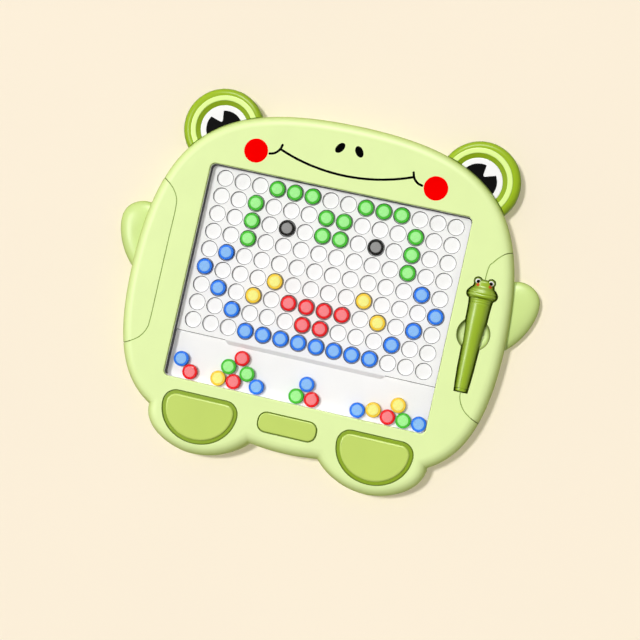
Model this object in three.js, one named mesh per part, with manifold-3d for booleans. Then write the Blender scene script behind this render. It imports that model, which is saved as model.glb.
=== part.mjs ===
// Magnetic bead drawing board shaped as a frog, lying on its back.
// Millimetres. +X is the board's right, +Y its top, +Z comes out of its face.
// Heights are counted from the rear face. Places on the face are counted from the middle of
// the field of wells, and the whole board is then moved so that its outline is centred on Y.

import * as THREE from 'three';
import { mergeVertices } from 'three/addons/utils/BufferGeometryUtils.js';
import Module from 'manifold-3d';

const wasm = await Module();
wasm.setup();

// Wells and beads
const wellColumns = 14;
const wellRows = 9;
const wellPitch = 12.7;
const wellDiameter = 11.4;
const wellDepth = 2;
const beadDiameter = 10.7;
const beadHeight = 5;
const beadBevel = 0.9;
const beadLift = 2.4;
const beadGap = 0.3;
const linkWidth = 2;
const linkHeight = 1.4;

// Stack of the board, from the front face down
const boardDepth = 23;
const skinThickness = 2;
const screenThickness = 2;
const trayThickness = 2;
const partingHeight = 9;
const wallThickness = 2.2;
const rearThickness = 2;

// Window and the white field behind it
const windowSideMargin = 4;
const windowTopMargin = 1.6;
const windowCorner = 3.5;
const plateLowerMargin = 2.8;
const looseTrayLength = 32.6;
const trayRim = 1.8;
const rampLength = 2.6;
const rampToe = 0.4;
const rampSideMargin = 35.6;

// Casing outline
const sideBorder = 40.4;
const crownBorder = 46.5;
const footBorder = 49.4;
const frontEdgeRadius = 8;
const rearEdgeRadius = 3.5;
const facetLength = 11;

// Running and seating room between pieces
const clearance = 0.3;
const overrun = 1;

// Screws and their posts
const screwHeadDiameter = 6.4;
const screwHeadHeight = 2;
const screwShankDiameter = 2.6;
const screwLength = 13;
const screwSink = 0.4;
const postDiameter = 9;

// Eyes
const eyeDiameter = 57.4;
const eyeHeight = 10.6;
const eyeEdgeRadius = 4.6;
const lightRingOuter = 47.6;
const lightRingInner = 41;
const lightRingDepth = 1.4;
const lightRingStand = 0.3;
const eyeballDiameter = 34.6;
const eyeballDepth = 2.6;
const eyeballThickness = 1.4;
const pupilDiameter = 25.8;
const pupilThickness = 0.5;
const flangeThickness = 2.4;

// Hands
const handReach = 17;
const handRoot = 15;
const handTop = 22.7;
const handBottom = 28;
const handThickness = 12;
const handRoundness = 6.5;

// Foot pads and belly plate
const padWidth = 53.3;
const padHeight = 33.8;
const padCorner = 9.3;
const padDrop = 8.2;
const padRimWidth = 2.5;
const pocketDepth = 1.2;
const padRimHeight = 0.7;
const padStand = 1.2;
const padEdge = 1;
const bellyWidth = 41.6;
const bellyHeight = 14;
const bellyCorner = 6;
const bellyDrop = 9.2;
const bellyStand = 0.6;
const bellyEdge = 0.5;

// Magnetic pen and its slot
const penOffset = 17.4;
const penTipHeight = -58.6;
const penLength = 77.9;
const penSink = 2.5;
const penWall = 1.8;
const penNeckRadius = 7.9;
const penTipRadius = 4.2;
const penCheekRadius = 10.9;
const penHeadLength = 13.9;
const penTipLength = 2.3;
const penPlugLength = 6;
const penMagnetDiameter = 6;
const penMagnetLength = 7;
const penEyeRadius = 2.7;
const penEyeSpacing = 9.8;
const penEyeRise = 1.1;
const penEyeStand = 2.4;
const penClearance = 0.4;
const pocketWall = 1.8;
const scoopRadius = 11.2;
const scoopDepth = 6;

// Heights from the rear face
const frontTop = boardDepth;
const skinUnder = frontTop - skinThickness;
const screenUnder = skinUnder - screenThickness;
const plateTop = screenUnder - beadLift - (beadHeight - wellDepth);
const trayFloor = plateTop - wellDepth;
const trayUnder = trayFloor - trayThickness;
const flangeTop = partingHeight - clearance;
const flangeUnder = flangeTop - flangeThickness;
const pocketFloor = frontTop - pocketDepth;

// Places on the face
const fieldHalfWidth = wellColumns * wellPitch / 2;
const fieldHalfHeight = wellRows * wellPitch / 2;
const windowHalfWidth = fieldHalfWidth + windowSideMargin;
const windowTop = fieldHalfHeight + windowTopMargin;
const plateBottom = -fieldHalfHeight - plateLowerMargin;
const windowBottom = plateBottom - looseTrayLength;
const windowMiddle = (windowTop + windowBottom) / 2;
const windowHeight = windowTop - windowBottom;
const bodyHalfWidth = windowHalfWidth + sideBorder;
const crownHeight = windowTop + crownBorder;
const footDepth = footBorder - windowBottom;
const beadRadius = beadDiameter / 2;
const wellRadius = wellDiameter / 2;
const eyeRadius = eyeDiameter / 2;

// Eye places as shares of the body's half width and of the crown's height
const eyeSideShare = 0.687;
const eyeRiseShare = 0.805;
const eyeX = eyeSideShare * bodyHalfWidth;
const eyeY = eyeRiseShare * crownHeight;

// Colours and finishes
function finish(color, roughness, metalness = 0) {
  return new THREE.MeshStandardMaterial({ color, roughness, metalness });
}

const finishes = {
  body: finish('#e0f5a4', 0.38),
  rear: finish('#d2e890', 0.5),
  plate: finish('#fbfbf9', 0.35),
  screen: finish('#f4fbff', 0.05),
  olive: finish('#9bbd22', 0.35),
  lime: finish('#e4ff96', 0.4),
  white: finish('#ffffff', 0.3),
  black: finish('#0c0c0c', 0.3),
  hand: finish('#cbe48c', 0.4),
  rim: finish('#83a01a', 0.4),
  pad: finish('#c3db68', 0.4),
  pen: finish('#97b81e', 0.25),
  magnet: finish('#8f9296', 0.35, 1),
  screw: finish('#a9acb0', 0.3, 1),
};

finishes.screen.transparent = true;
finishes.screen.opacity = 0.2;

const beadFinishes = {
  green: finish('#46be3c', 0.25),
  blue: finish('#2f70e6', 0.25),
  red: finish('#dc1e2c', 0.25),
  yellow: finish('#f9bd35', 0.25),
  black: finish('#1a1a1a', 0.25),
};

// Turns a closed three.js geometry into a solid that can be joined and cut
const weldDistance = 1e-4;

function solidOf(geometry) {
  const bare = geometry.clone();
  bare.deleteAttribute('normal');
  bare.deleteAttribute('uv');
  const welded = mergeVertices(bare, weldDistance);
  const corners = welded.index.array;
  const kept = [];
  for (let i = 0; i < corners.length; i += 3) {
    const [a, b, c] = corners.slice(i, i + 3);
    if (a !== b && b !== c && c !== a) {
      kept.push(a, b, c);
    }
  }
  return new wasm.Manifold(new wasm.Mesh({
    numProp: 3,
    vertProperties: new Float32Array(welded.attributes.position.array),
    triVerts: new Uint32Array(kept),
  }));
}

// Adds a finished solid to a group as a named mesh
function addPiece(group, name, solid, material) {
  const { vertProperties, triVerts } = solid.getMesh();
  const geometry = new THREE.BufferGeometry();
  geometry.setAttribute('position', new THREE.BufferAttribute(new Float32Array(vertProperties), 3));
  geometry.setIndex(new THREE.BufferAttribute(new Uint32Array(triVerts), 1));
  geometry.computeVertexNormals();
  const mesh = new THREE.Mesh(geometry, material);
  mesh.name = name;
  group.add(mesh);
}

// Moves every point of a counter-clockwise outline inwards
function insetOutline(outline, inset) {
  const count = outline.length;
  return outline.map((point, index) => {
    const arriving = point.clone().sub(outline[(index + count - 1) % count]).normalize();
    const leaving = outline[(index + 1) % count].clone().sub(point).normalize();
    const inward = new THREE.Vector2(-(arriving.y + leaving.y), arriving.x + leaving.x);
    return point.clone().addScaledVector(inward, 2 * inset / inward.lengthSq());
  });
}

// A closed solid whose rings are one outline, drawn in by an inset at each height
function ringSolid(outline, profile) {
  const count = outline.length;
  const positions = [];
  for (const [inset, height] of profile) {
    for (const point of insetOutline(outline, inset)) {
      positions.push(point.x, point.y, height);
    }
  }
  const faces = [];
  for (let ring = 0; ring < profile.length - 1; ring += 1) {
    for (let index = 0; index < count; index += 1) {
      const next = (index + 1) % count;
      const low = ring * count;
      const high = low + count;
      faces.push(low + index, low + next, high + next, low + index, high + next, high + index);
    }
  }
  const top = (profile.length - 1) * count;
  for (const [a, b, c] of THREE.ShapeUtils.triangulateShape(outline, [])) {
    faces.push(c, b, a, top + a, top + b, top + c);
  }
  const geometry = new THREE.BufferGeometry();
  geometry.setAttribute('position', new THREE.Float32BufferAttribute(positions, 3));
  geometry.setIndex(faces);
  return solidOf(geometry);
}

function prism(outline, low, high) {
  return ringSolid(outline, [[0, low], [0, high]]);
}

// A solid turned about an upright axis from a profile of radius and height
function turned(profile, sides) {
  const points = profile.map(([radius, height]) => new THREE.Vector2(radius, height));
  return solidOf(new THREE.LatheGeometry(points, sides).rotateX(Math.PI / 2));
}

function disc(radius, low, high, sides) {
  return turned([[0, low], [radius, low], [radius, high], [0, high]], sides);
}

function box(width, length, low, high) {
  const shape = new THREE.BoxGeometry(width, length, high - low);
  return solidOf(shape.translate(0, 0, (low + high) / 2));
}

// A quarter round of insets and heights, from the side up to a face
function edgeRound(radius, topHeight, steps) {
  const profile = [];
  for (let step = 0; step <= steps; step += 1) {
    const angle = Math.PI / 2 * step / steps;
    profile.push([radius * (1 - Math.cos(angle)), topHeight - radius + radius * Math.sin(angle)]);
  }
  return profile;
}

// Points of a closed path, without the repeated last one, counter-clockwise
function outlineOf(path, divisions) {
  const points = path.getPoints(divisions);
  if (points[0].distanceTo(points.at(-1)) < weldDistance) {
    points.pop();
  }
  return THREE.ShapeUtils.isClockWise(points) ? points.reverse() : points;
}

function roundedRectangle(halfWidth, halfHeight, radius, middleY = 0, middleX = 0) {
  const right = middleX + halfWidth - radius;
  const left = middleX - halfWidth + radius;
  const top = middleY + halfHeight - radius;
  const bottom = middleY - halfHeight + radius;
  const path = new THREE.Path();
  path.absarc(right, bottom, radius, -Math.PI / 2, 0);
  path.absarc(right, top, radius, 0, Math.PI / 2);
  path.absarc(left, top, radius, Math.PI / 2, Math.PI);
  path.absarc(left, bottom, radius, Math.PI, 1.5 * Math.PI);
  path.closePath();
  return outlineOf(path, 2);
}

// Body outline: the right half from the crown down to the middle of the lower edge.
// Each row is one curve: two handles and its end. The first number is a share of the half
// width. The second is a share of the crown's height, or below zero of the feet's depth.
const bodyCurveShares = [
  [[0.68, 1], [1, 0.745], [1, -0.155]],
  [[1, -0.509], [0.925, -0.713], [0.745, -0.808]],
  [[0.75, -0.935], [0.57, -1], [0.465, -1]],
  [[0.38, -1], [0.27, -0.975], [0.183, -0.887]],
  [[0.12, -0.894], [0.06, -0.899], [0, -0.899]],
];

function bodyPoint([sideShare, riseShare]) {
  const rise = riseShare > 0 ? crownHeight : footDepth;
  return new THREE.Vector2(sideShare * bodyHalfWidth, riseShare * rise);
}

function bodyOutline() {
  const right = [new THREE.Vector2(0, crownHeight)];
  for (const row of bodyCurveShares) {
    const curve = new THREE.CubicBezierCurve(right.at(-1), ...row.map(bodyPoint));
    const divisions = Math.ceil(curve.getLength() / facetLength);
    right.push(...curve.getPoints(divisions).slice(1));
  }
  const left = right.map((point) => new THREE.Vector2(-point.x, point.y));
  return [...left, ...right.slice(1, -1).reverse()];
}

const bodyEdge = bodyOutline();

// What stays clear of the casing: its outline, grown by the seating room
function casingGuard(low, high) {
  return prism(insetOutline(bodyEdge, -clearance), low, high);
}

function mirrored(solid) {
  return solid.mirror([1, 0, 0]);
}

// Foot pad outline: a flat top with round corners and a half ellipse below
const footSideShare = 0.466;
const padX = footSideShare * bodyHalfWidth;
const padTop = windowBottom - padDrop;

function padOutline(inset) {
  const corner = padCorner - inset;
  const halfWidth = padWidth / 2 - inset;
  const sideY = padTop - padCorner;
  const path = new THREE.Path();
  path.absellipse(padX, sideY, halfWidth, padHeight - padCorner - inset, Math.PI, 2 * Math.PI);
  path.absarc(padX + halfWidth - corner, sideY, corner, 0, Math.PI / 2);
  path.absarc(padX - halfWidth + corner, sideY, corner, Math.PI / 2, Math.PI);
  path.closePath();
  return outlineOf(path, 5);
}

const bellyY = windowBottom - bellyDrop - bellyHeight / 2;

function bellyOutline(inset) {
  return roundedRectangle(bellyWidth / 2 - inset, bellyHeight / 2 - inset, bellyCorner - inset, bellyY);
}

// Hand outline, an egg that leans out at its top and runs in behind the casing
const handCurveShares = [
  [[0.55, 1], [1, 0.72], [1, 0.35]],
  [[1, -0.15], [0.55, -0.62], [0, -0.9]],
  [[-0.45, -1.13], [-1, -0.75], [-1, -0.1]],
  [[-1, 0.6], [-0.55, 1], [0, 1]],
];
const handDivisions = 5;

function handPoint([sideShare, riseShare]) {
  const halfWidth = (handReach + handRoot) / 2;
  const middle = bodyHalfWidth + handReach - halfWidth;
  const rise = riseShare > 0 ? handTop : handBottom;
  return new THREE.Vector2(middle + sideShare * halfWidth, riseShare * rise);
}

function handOutline() {
  const start = handPoint([0, 1]);
  const points = [start];
  for (const row of handCurveShares) {
    const curve = new THREE.CubicBezierCurve(points.at(-1), ...row.map(handPoint));
    points.push(...curve.getPoints(handDivisions).slice(1));
  }
  points.pop();
  return points.reverse();
}

// Pen: heights along the pen, and radii, as shares
const penX = windowHalfWidth + penOffset;
const penAxisHeight = frontTop - penSink;
const penTopY = penTipHeight + penLength;
const penNeckY = penTopY - penHeadLength;
const penBarrelStart = penTipHeight + penTipLength;
const barrelLength = penNeckY - penBarrelStart;
const penHeadFlatShare = 0.72;
const penSides = 14;

// Barrel rows: share of the barrel's length from its tip end, and where the radius lies
// between the tip's radius and the neck's
const barrelShares = [
  [0, 0.09], [0.2, 0.28], [0.44, 0.42], [0.58, 0.57], [0.75, 0.76], [0.91, 0.84], [1, 1],
];

// Head rows: share of the head's length above the neck, and share of the cheeks' radius
const headShares = [
  [0, 0.74], [0.12, 0.86], [0.24, 0.97], [0.34, 1], [0.44, 0.97],
  [0.56, 0.82], [0.7, 0.71], [0.9, 0.66], [1, 0.46],
];

function barrelProfile(grow) {
  return barrelShares.map(([along, across]) => [
    penTipRadius + across * (penNeckRadius - penTipRadius) + grow,
    penBarrelStart + along * barrelLength,
  ]);
}

function barrelRadiusAt(height) {
  const rows = barrelProfile(0);
  const above = rows.findIndex(([, rowHeight]) => rowHeight > height);
  const [lowRadius, lowHeight] = rows[above - 1];
  const [highRadius, highHeight] = rows[above];
  return THREE.MathUtils.mapLinear(height, lowHeight, highHeight, lowRadius, highRadius);
}

function headProfile(grow) {
  return headShares.map(([along, across]) => [
    across * penCheekRadius + grow,
    penNeckY + along * penHeadLength,
  ]);
}

// A solid turned about the pen's own axis, with closed ends
function penTurned(profile, sides = penSides) {
  const closed = [[0, profile[0][1]], ...profile, [0, profile.at(-1)[1]]];
  const points = closed.map(([radius, height]) => new THREE.Vector2(radius, height));
  return solidOf(new THREE.LatheGeometry(points, sides));
}

function placedOnPenAxis(solid) {
  return solid.translate([penX, 0, penAxisHeight]);
}

// The pen's side view, grown all round, with room for the eyes on its head
const penEyeY = penTopY - penEyeRise;

function grownBarrel(grow) {
  return [[penTipRadius + grow, penTipHeight - grow], ...barrelProfile(grow)];
}

function grownHead(grow) {
  const eyeRoom = penEyeRadius + grow;
  const eyeEdge = penEyeSpacing / 2 + eyeRoom;
  const eyeCorner = penEyeSpacing / 2 + eyeRoom / 2;
  const widest = headShares.findIndex(([, across]) => across === 1);
  const cheeks = headProfile(grow).filter(([radius], row) => row <= widest || radius > eyeEdge);
  return [...cheeks, [eyeEdge, penEyeY], [eyeEdge, penEyeY + eyeRoom / 2], [eyeCorner, penEyeY + eyeRoom]];
}

function penPrism(grow, low, high) {
  const side = [...grownBarrel(grow), ...grownHead(grow)];
  const silhouette = [
    ...side.map(([radius, height]) => new THREE.Vector2(radius, height)),
    ...side.toReversed().map(([radius, height]) => new THREE.Vector2(-radius, height)),
  ];
  return placedOnPenAxis(prism(silhouette, low - penAxisHeight, high - penAxisHeight));
}

// The slot that the pen lies in, and the block that walls it in
function penSlot() {
  const roundBarrel = penTurned(grownBarrel(penClearance));
  const flatHead = penTurned(grownHead(penClearance)).scale([1, 1, penHeadFlatShare]);
  const upper = penPrism(penClearance, penAxisHeight, frontTop + overrun);
  return upper.add(placedOnPenAxis(roundBarrel.add(flatHead)));
}

function penBlock(top) {
  const grow = penClearance + pocketWall;
  return penPrism(grow, penAxisHeight - penNeckRadius - grow, top);
}

// Finger scoop beside the pen: a round dish across the slot
const scoopShareAlong = 0.505;
const scoopY = penTipHeight + scoopShareAlong * penLength;
const scoopSides = 20;

function scoop(grow, top) {
  const low = frontTop - scoopDepth - grow;
  const radius = scoopRadius + grow;
  const dish = turned([
    [0, low],
    [radius - scoopDepth / 3, low],
    [radius, low + scoopDepth / 2],
    [radius, top],
    [0, top],
  ], scoopSides);
  return dish.translate([penX, scoopY, 0]);
}

// Screw places, one side only, as shares of the half width, the crown's height and the feet's depth
const screwPlaceShares = [[0.42, 0.81], [0.845, 0.43], [0.47, -0.83]];

function screwPlaces() {
  const places = [];
  for (const share of screwPlaceShares) {
    const point = bodyPoint(share);
    places.push([point.x, point.y], [-point.x, point.y]);
  }
  return places;
}

const shankRoom = screwShankDiameter / 2 + clearance;
const headRoom = screwHeadDiameter / 2 + clearance;
const headSeat = screwSink + screwHeadHeight;
const roundSides = 8;

// The window's outline and, grown, those of the tray and of the walls that hold it
function windowOutline(grow) {
  const halfHeight = windowHeight / 2 + grow;
  return roundedRectangle(windowHalfWidth + grow, halfHeight, windowCorner + grow, windowMiddle);
}

const trayOutline = windowOutline(trayRim);

function frontShell() {
  const outer = ringSolid(bodyEdge, [[0, partingHeight], ...edgeRound(frontEdgeRadius, frontTop, 3)]);
  const innerEdge = edgeRound(frontEdgeRadius - wallThickness, skinUnder, 2)
    .map(([inset, height]) => [inset + wallThickness, height]);
  const cavity = ringSolid(bodyEdge, [[wallThickness, partingHeight - overrun], ...innerEdge]);

  const joinTop = skinUnder + skinThickness / 2;
  const collar = prism(insetOutline(trayOutline, -clearance - wallThickness), partingHeight, joinTop);
  const collarBore = prism(insetOutline(trayOutline, -clearance), partingHeight - overrun, skinUnder);
  let shell = outer.subtract(cavity).add(collar).add(penBlock(joinTop)).add(scoop(pocketWall, joinTop));
  for (const [x, y] of screwPlaces()) {
    const post = disc(postDiameter / 2, partingHeight, joinTop, roundSides);
    shell = shell.add(post.translate([x, y, 0]));
  }
  shell = shell.subtract(collarBore).subtract(prism(windowOutline(0), partingHeight, frontTop + overrun));
  shell = shell.subtract(penSlot()).subtract(scoop(0, frontTop + overrun));

  const pilotTop = screwSink + screwHeadHeight + screwLength + overrun;
  for (const [x, y] of screwPlaces()) {
    const pilot = disc(shankRoom, partingHeight - overrun, pilotTop, roundSides);
    shell = shell.subtract(pilot.translate([x, y, 0]));
  }

  const footPocket = prism(padOutline(0), pocketFloor, frontTop + overrun);
  shell = shell.subtract(footPocket).subtract(mirrored(footPocket));
  return shell.subtract(prism(bellyOutline(0), pocketFloor, frontTop + overrun));
}

// The three ribs that carry the tray
const ribThickness = 1.8;
const ribRowShares = [-0.7, 0, 0.7];
const ribLengthShare = 0.9;

function rearCover() {
  const rearEdge = edgeRound(rearEdgeRadius, 0, 2).reverse().map(([inset, height]) => [inset, -height]);
  const outer = ringSolid(bodyEdge, [...rearEdge, [0, partingHeight]]);
  const cavity = ringSolid(bodyEdge, [
    [rearEdgeRadius, rearThickness],
    [wallThickness, rearThickness + rearEdgeRadius / 2],
    [wallThickness, partingHeight + overrun],
  ]);
  let cover = outer.subtract(cavity);

  const ribLength = 2 * windowHalfWidth * ribLengthShare;
  for (const rowShare of ribRowShares) {
    const rib = box(ribLength, ribThickness, rearThickness - overrun / 2, trayUnder);
    cover = cover.add(rib.translate([0, windowMiddle + rowShare * windowHeight / 2, 0]));
  }
  for (const [x, y] of screwPlaces()) {
    const post = disc(postDiameter / 2, rearThickness / 2, partingHeight, roundSides);
    cover = cover.add(post.translate([x, y, 0]));
  }
  for (const [x, y] of screwPlaces()) {
    const hole = disc(shankRoom, -overrun, partingHeight + overrun, roundSides);
    const seat = disc(headRoom, -overrun, headSeat, roundSides);
    cover = cover.subtract(hole.add(seat).translate([x, y, 0]));
  }

  const notchLow = flangeUnder - clearance;
  const notchHigh = partingHeight + overrun;
  const eyeNotch = disc(eyeRadius + clearance, notchLow, notchHigh, eyeSides).translate([eyeX, eyeY, 0]);
  const handNotch = prism(insetOutline(handOutline(), -clearance), notchLow, notchHigh);
  const notches = eyeNotch.add(handNotch);
  return cover.subtract(notches).subtract(mirrored(notches));
}

// Bodies of the eyes: a full flange is held between the shells, the rest stands clear of them
const eyeSides = 30;
const eyeTop = flangeUnder + eyeHeight;
const ringGrooveFloor = eyeTop - lightRingDepth;
const eyeballFloor = eyeTop - eyeballDepth;
const eyeballTop = eyeballFloor + eyeballThickness;

function eyeHousing() {
  const edge = edgeRound(eyeEdgeRadius, eyeTop, 3).map(([inset, height]) => [eyeRadius - inset, height]);
  const profile = [
    [0, flangeUnder],
    [eyeRadius, flangeUnder],
    ...edge,
    [lightRingOuter / 2 + clearance, eyeTop],
    [lightRingOuter / 2 + clearance, ringGrooveFloor],
    [lightRingInner / 2 - clearance, ringGrooveFloor],
    [lightRingInner / 2 - clearance, eyeTop],
    [eyeballDiameter / 2 + clearance, eyeTop],
    [eyeballDiameter / 2 + clearance, eyeballFloor],
    [0, eyeballFloor],
  ];
  return clearOfCasing(turned(profile, eyeSides).translate([eyeX, eyeY, 0]));
}

function clearOfCasing(solid) {
  return solid.subtract(casingGuard(flangeTop, frontTop + overrun));
}

function eyeRing() {
  const low = ringGrooveFloor;
  const high = eyeTop + lightRingStand;
  const ring = turned([
    [lightRingInner / 2, low],
    [lightRingOuter / 2, low],
    [lightRingOuter / 2, high],
    [lightRingInner / 2, high],
    [lightRingInner / 2, low],
  ], eyeSides);
  return clearOfCasing(ring.translate([eyeX, eyeY, 0]));
}

function eyeball() {
  const ball = disc(eyeballDiameter / 2, eyeballFloor, eyeballTop, eyeSides);
  return clearOfCasing(ball.translate([eyeX, eyeY, 0]));
}

// The pupil's bright notch, as shares of the pupil's radius, measured from its centre
const notchShares = [[0.87, 0.5], [0.3, 0.97], [0.6, 1.3], [1.3, 0.9]];
const notchCornerShares = [0.18, 0.32];

function pupil() {
  const radius = pupilDiameter / 2;
  const [first, second, ...far] = notchShares.map(([x, y]) => new THREE.Vector2(x * radius, y * radius));
  const [cornerX, cornerY] = notchCornerShares.map((share) => share * radius);
  const path = new THREE.Path();
  path.moveTo(first.x, first.y);
  path.quadraticCurveTo(cornerX, cornerY, second.x, second.y);
  for (const point of far) {
    path.lineTo(point.x, point.y);
  }
  path.closePath();
  const low = eyeballTop;
  const high = low + pupilThickness;
  const notch = prism(outlineOf(path, 6), low - overrun, high + overrun);
  const whole = disc(radius, low, high, eyeSides).subtract(notch);
  return clearOfCasing(whole.translate([eyeX, eyeY, 0]));
}

function hand() {
  const middle = (flangeTop + flangeUnder) / 2;
  const half = handThickness / 2;
  const steps = 6;
  const profile = [];
  for (let step = 0; step <= steps; step += 1) {
    const angle = Math.PI * (step / steps - 0.5);
    profile.push([handRoundness * (1 - Math.cos(angle)), middle + half * Math.sin(angle)]);
  }
  const whole = ringSolid(handOutline(), profile);
  return whole.subtract(casingGuard(flangeTop, frontTop)).subtract(casingGuard(-overrun, flangeUnder));
}

// Pads and plates let into the front
function softEdged(outlineAt, low, high, edge) {
  return ringSolid(outlineAt, [[0, low], [0, high - edge], [edge / 3, high - edge / 3], [edge, high]]);
}

function footRim() {
  const outer = prism(padOutline(clearance), pocketFloor, pocketFloor + padRimHeight);
  return outer.subtract(prism(padOutline(padRimWidth), pocketFloor - overrun, frontTop));
}

function footPad() {
  return softEdged(padOutline(padRimWidth + clearance), pocketFloor, frontTop + padStand, padEdge);
}

function bellyPlate() {
  return softEdged(bellyOutline(clearance), pocketFloor, frontTop + bellyStand, bellyEdge);
}

function clearScreen() {
  return prism(trayOutline, screenUnder, skinUnder);
}

function beadTray() {
  const room = prism(windowOutline(0), trayFloor, screenUnder + overrun);
  return prism(trayOutline, trayUnder, screenUnder).subtract(room);
}

// The sheet with a round well for every place, and a ramp at its lower edge
function wellCentre(column, row) {
  return [(column - (wellColumns - 1) / 2) * wellPitch, ((wellRows - 1) / 2 - row) * wellPitch];
}

// A well is a polygon round the well's circle, with its flats towards its neighbours
const wellSides = 8;

function wellPath(column, row) {
  const [x, y] = wellCentre(column, row);
  const reach = wellRadius / Math.cos(Math.PI / wellSides);
  const points = Array.from({ length: wellSides }, (_, index) => {
    const angle = 2 * Math.PI * (index + 0.5) / wellSides;
    return new THREE.Vector2(x + reach * Math.cos(angle), y + reach * Math.sin(angle));
  });
  return new THREE.Path(points);
}

function beadPlate() {
  const sheet = new THREE.Shape();
  const right = windowHalfWidth - clearance;
  const top = windowTop - clearance;
  const corner = windowCorner;
  sheet.moveTo(-right, plateBottom);
  sheet.lineTo(right, plateBottom);
  sheet.lineTo(right, top - corner);
  sheet.absarc(right - corner, top - corner, corner, 0, Math.PI / 2);
  sheet.absarc(-right + corner, top - corner, corner, Math.PI / 2, Math.PI);
  sheet.closePath();
  for (let row = 0; row < wellRows; row += 1) {
    for (let column = 0; column < wellColumns; column += 1) {
      sheet.holes.push(wellPath(column, row));
    }
  }
  const settings = { depth: wellDepth, bevelEnabled: false, curveSegments: 3 };
  const flat = new THREE.ExtrudeGeometry(sheet, settings);
  return solidOf(flat.translate(0, 0, trayFloor)).add(ramp());
}

// Ramp: full height along the sheet's edge, falling to a thin toe
function ramp() {
  const rampTopHalf = windowHalfWidth - rampSideMargin;
  const topEdge = new THREE.Vector2(rampTopHalf, plateBottom);
  const footEdge = new THREE.Vector2(rampTopHalf - rampLength, plateBottom - rampLength);
  const back = plateBottom + overrun / 2;
  const toe = trayFloor + rampToe;
  const positions = [];
  for (const side of [-1, 1]) {
    positions.push(
      side * topEdge.x, back, trayFloor,
      side * topEdge.x, back, plateTop,
      side * topEdge.x, topEdge.y, trayFloor,
      side * topEdge.x, topEdge.y, plateTop,
      side * footEdge.x, footEdge.y, trayFloor,
      side * footEdge.x, footEdge.y, toe,
    );
  }
  const sideFaces = [[0, 2, 3], [0, 3, 1], [2, 4, 5], [2, 5, 3]];
  const strips = [[0, 1], [1, 3], [3, 5], [5, 4], [4, 2], [2, 0]];
  const faces = [];
  const far = strips.length;
  for (const [a, b, c] of sideFaces) {
    faces.push(a, b, c, a + far, c + far, b + far);
  }
  for (const [a, b] of strips) {
    faces.push(a, b, b + far, a, b + far, a + far);
  }
  const geometry = new THREE.BufferGeometry();
  geometry.setAttribute('position', new THREE.Float32BufferAttribute(positions, 3));
  geometry.setIndex(faces);
  return solidOf(geometry);
}

// Beads
const beadSides = 10;

function bead(x, y) {
  const top = trayFloor + beadHeight;
  const solid = turned([
    [0, trayFloor],
    [beadRadius, trayFloor],
    [beadRadius, top - beadBevel],
    [beadRadius - beadBevel, top],
    [0, top],
  ], beadSides);
  return solid.translate([x, y, 0]);
}

// A row of seated beads, each joined to the next by a thin link that passes over the sheet
function beadGroup(places) {
  const centres = places.map(([column, row]) => wellCentre(column, row));
  let group = null;
  for (const [x, y] of centres) {
    group = group ? group.add(bead(x, y)) : bead(x, y);
  }
  const low = plateTop + (beadHeight - wellDepth - linkHeight) / 2;
  for (let index = 1; index < centres.length; index += 1) {
    const [x, y] = centres[index - 1];
    const across = new THREE.Vector2(centres[index][0] - x, centres[index][1] - y);
    const bar = box(across.length(), linkWidth, low, low + linkHeight)
      .rotate([0, 0, THREE.MathUtils.radToDeg(across.angle())])
      .translate([x + across.x / 2, y + across.y / 2, 0]);
    group = group.add(bar);
  }
  return group;
}

const seatedGroups = [
  { label: 'green_left', places: [[2, 3], [2, 2], [2, 1], [3, 0], [4, 0], [5, 0]] },
  { label: 'green_right', places: [[11, 3], [11, 2], [11, 1], [10, 0], [9, 0], [8, 0]] },
  { label: 'green_middle', places: [[6, 1], [7, 1], [7, 2], [6, 2]] },
  {
    label: 'blue',
    places: [
      [1, 4], [0, 5], [1, 6], [2, 7], [3, 8], [4, 8], [5, 8], [6, 8],
      [7, 8], [8, 8], [9, 8], [10, 8], [11, 7], [12, 6], [13, 5], [12, 4],
    ],
  },
  { label: 'yellow_left', places: [[4, 5], [3, 6]] },
  { label: 'yellow_right', places: [[9, 5], [10, 6]] },
  { label: 'red', places: [[5, 6], [6, 6], [6, 7], [7, 7], [7, 6], [8, 6]] },
  { label: 'black_left', places: [[4, 2]] },
  { label: 'black_right', places: [[9, 2]] },
];

// Loose beads lie in four heaps on the tray floor. A place is a share of the half width that is
// free for a bead's centre, and a share of the free length above the lower wall.
const looseBeadShares = [
  { color: 'red', share: [-0.873, 0] },
  { color: 'blue', share: [-0.964, 0.409] },
  { color: 'yellow', share: [-0.639, 0] },
  { color: 'red', share: [-0.513, 0] },
  { color: 'green', share: [-0.576, 0.51] },
  { color: 'green', share: [-0.418, 0.386] },
  { color: 'blue', share: [-0.322, 0] },
  { color: 'red', share: [-0.484, 0.911] },
  { color: 'green', share: [0.005, 0] },
  { color: 'red', share: [0.131, 0] },
  { color: 'blue', share: [0.068, 0.51] },
  { color: 'blue', share: [1, 0] },
  { color: 'green', share: [0.874, 0] },
  { color: 'red', share: [0.748, 0] },
  { color: 'yellow', share: [0.811, 0.51] },
  { color: 'yellow', share: [0.626, 0.142] },
  { color: 'blue', share: [0.503, 0] },
];

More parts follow.
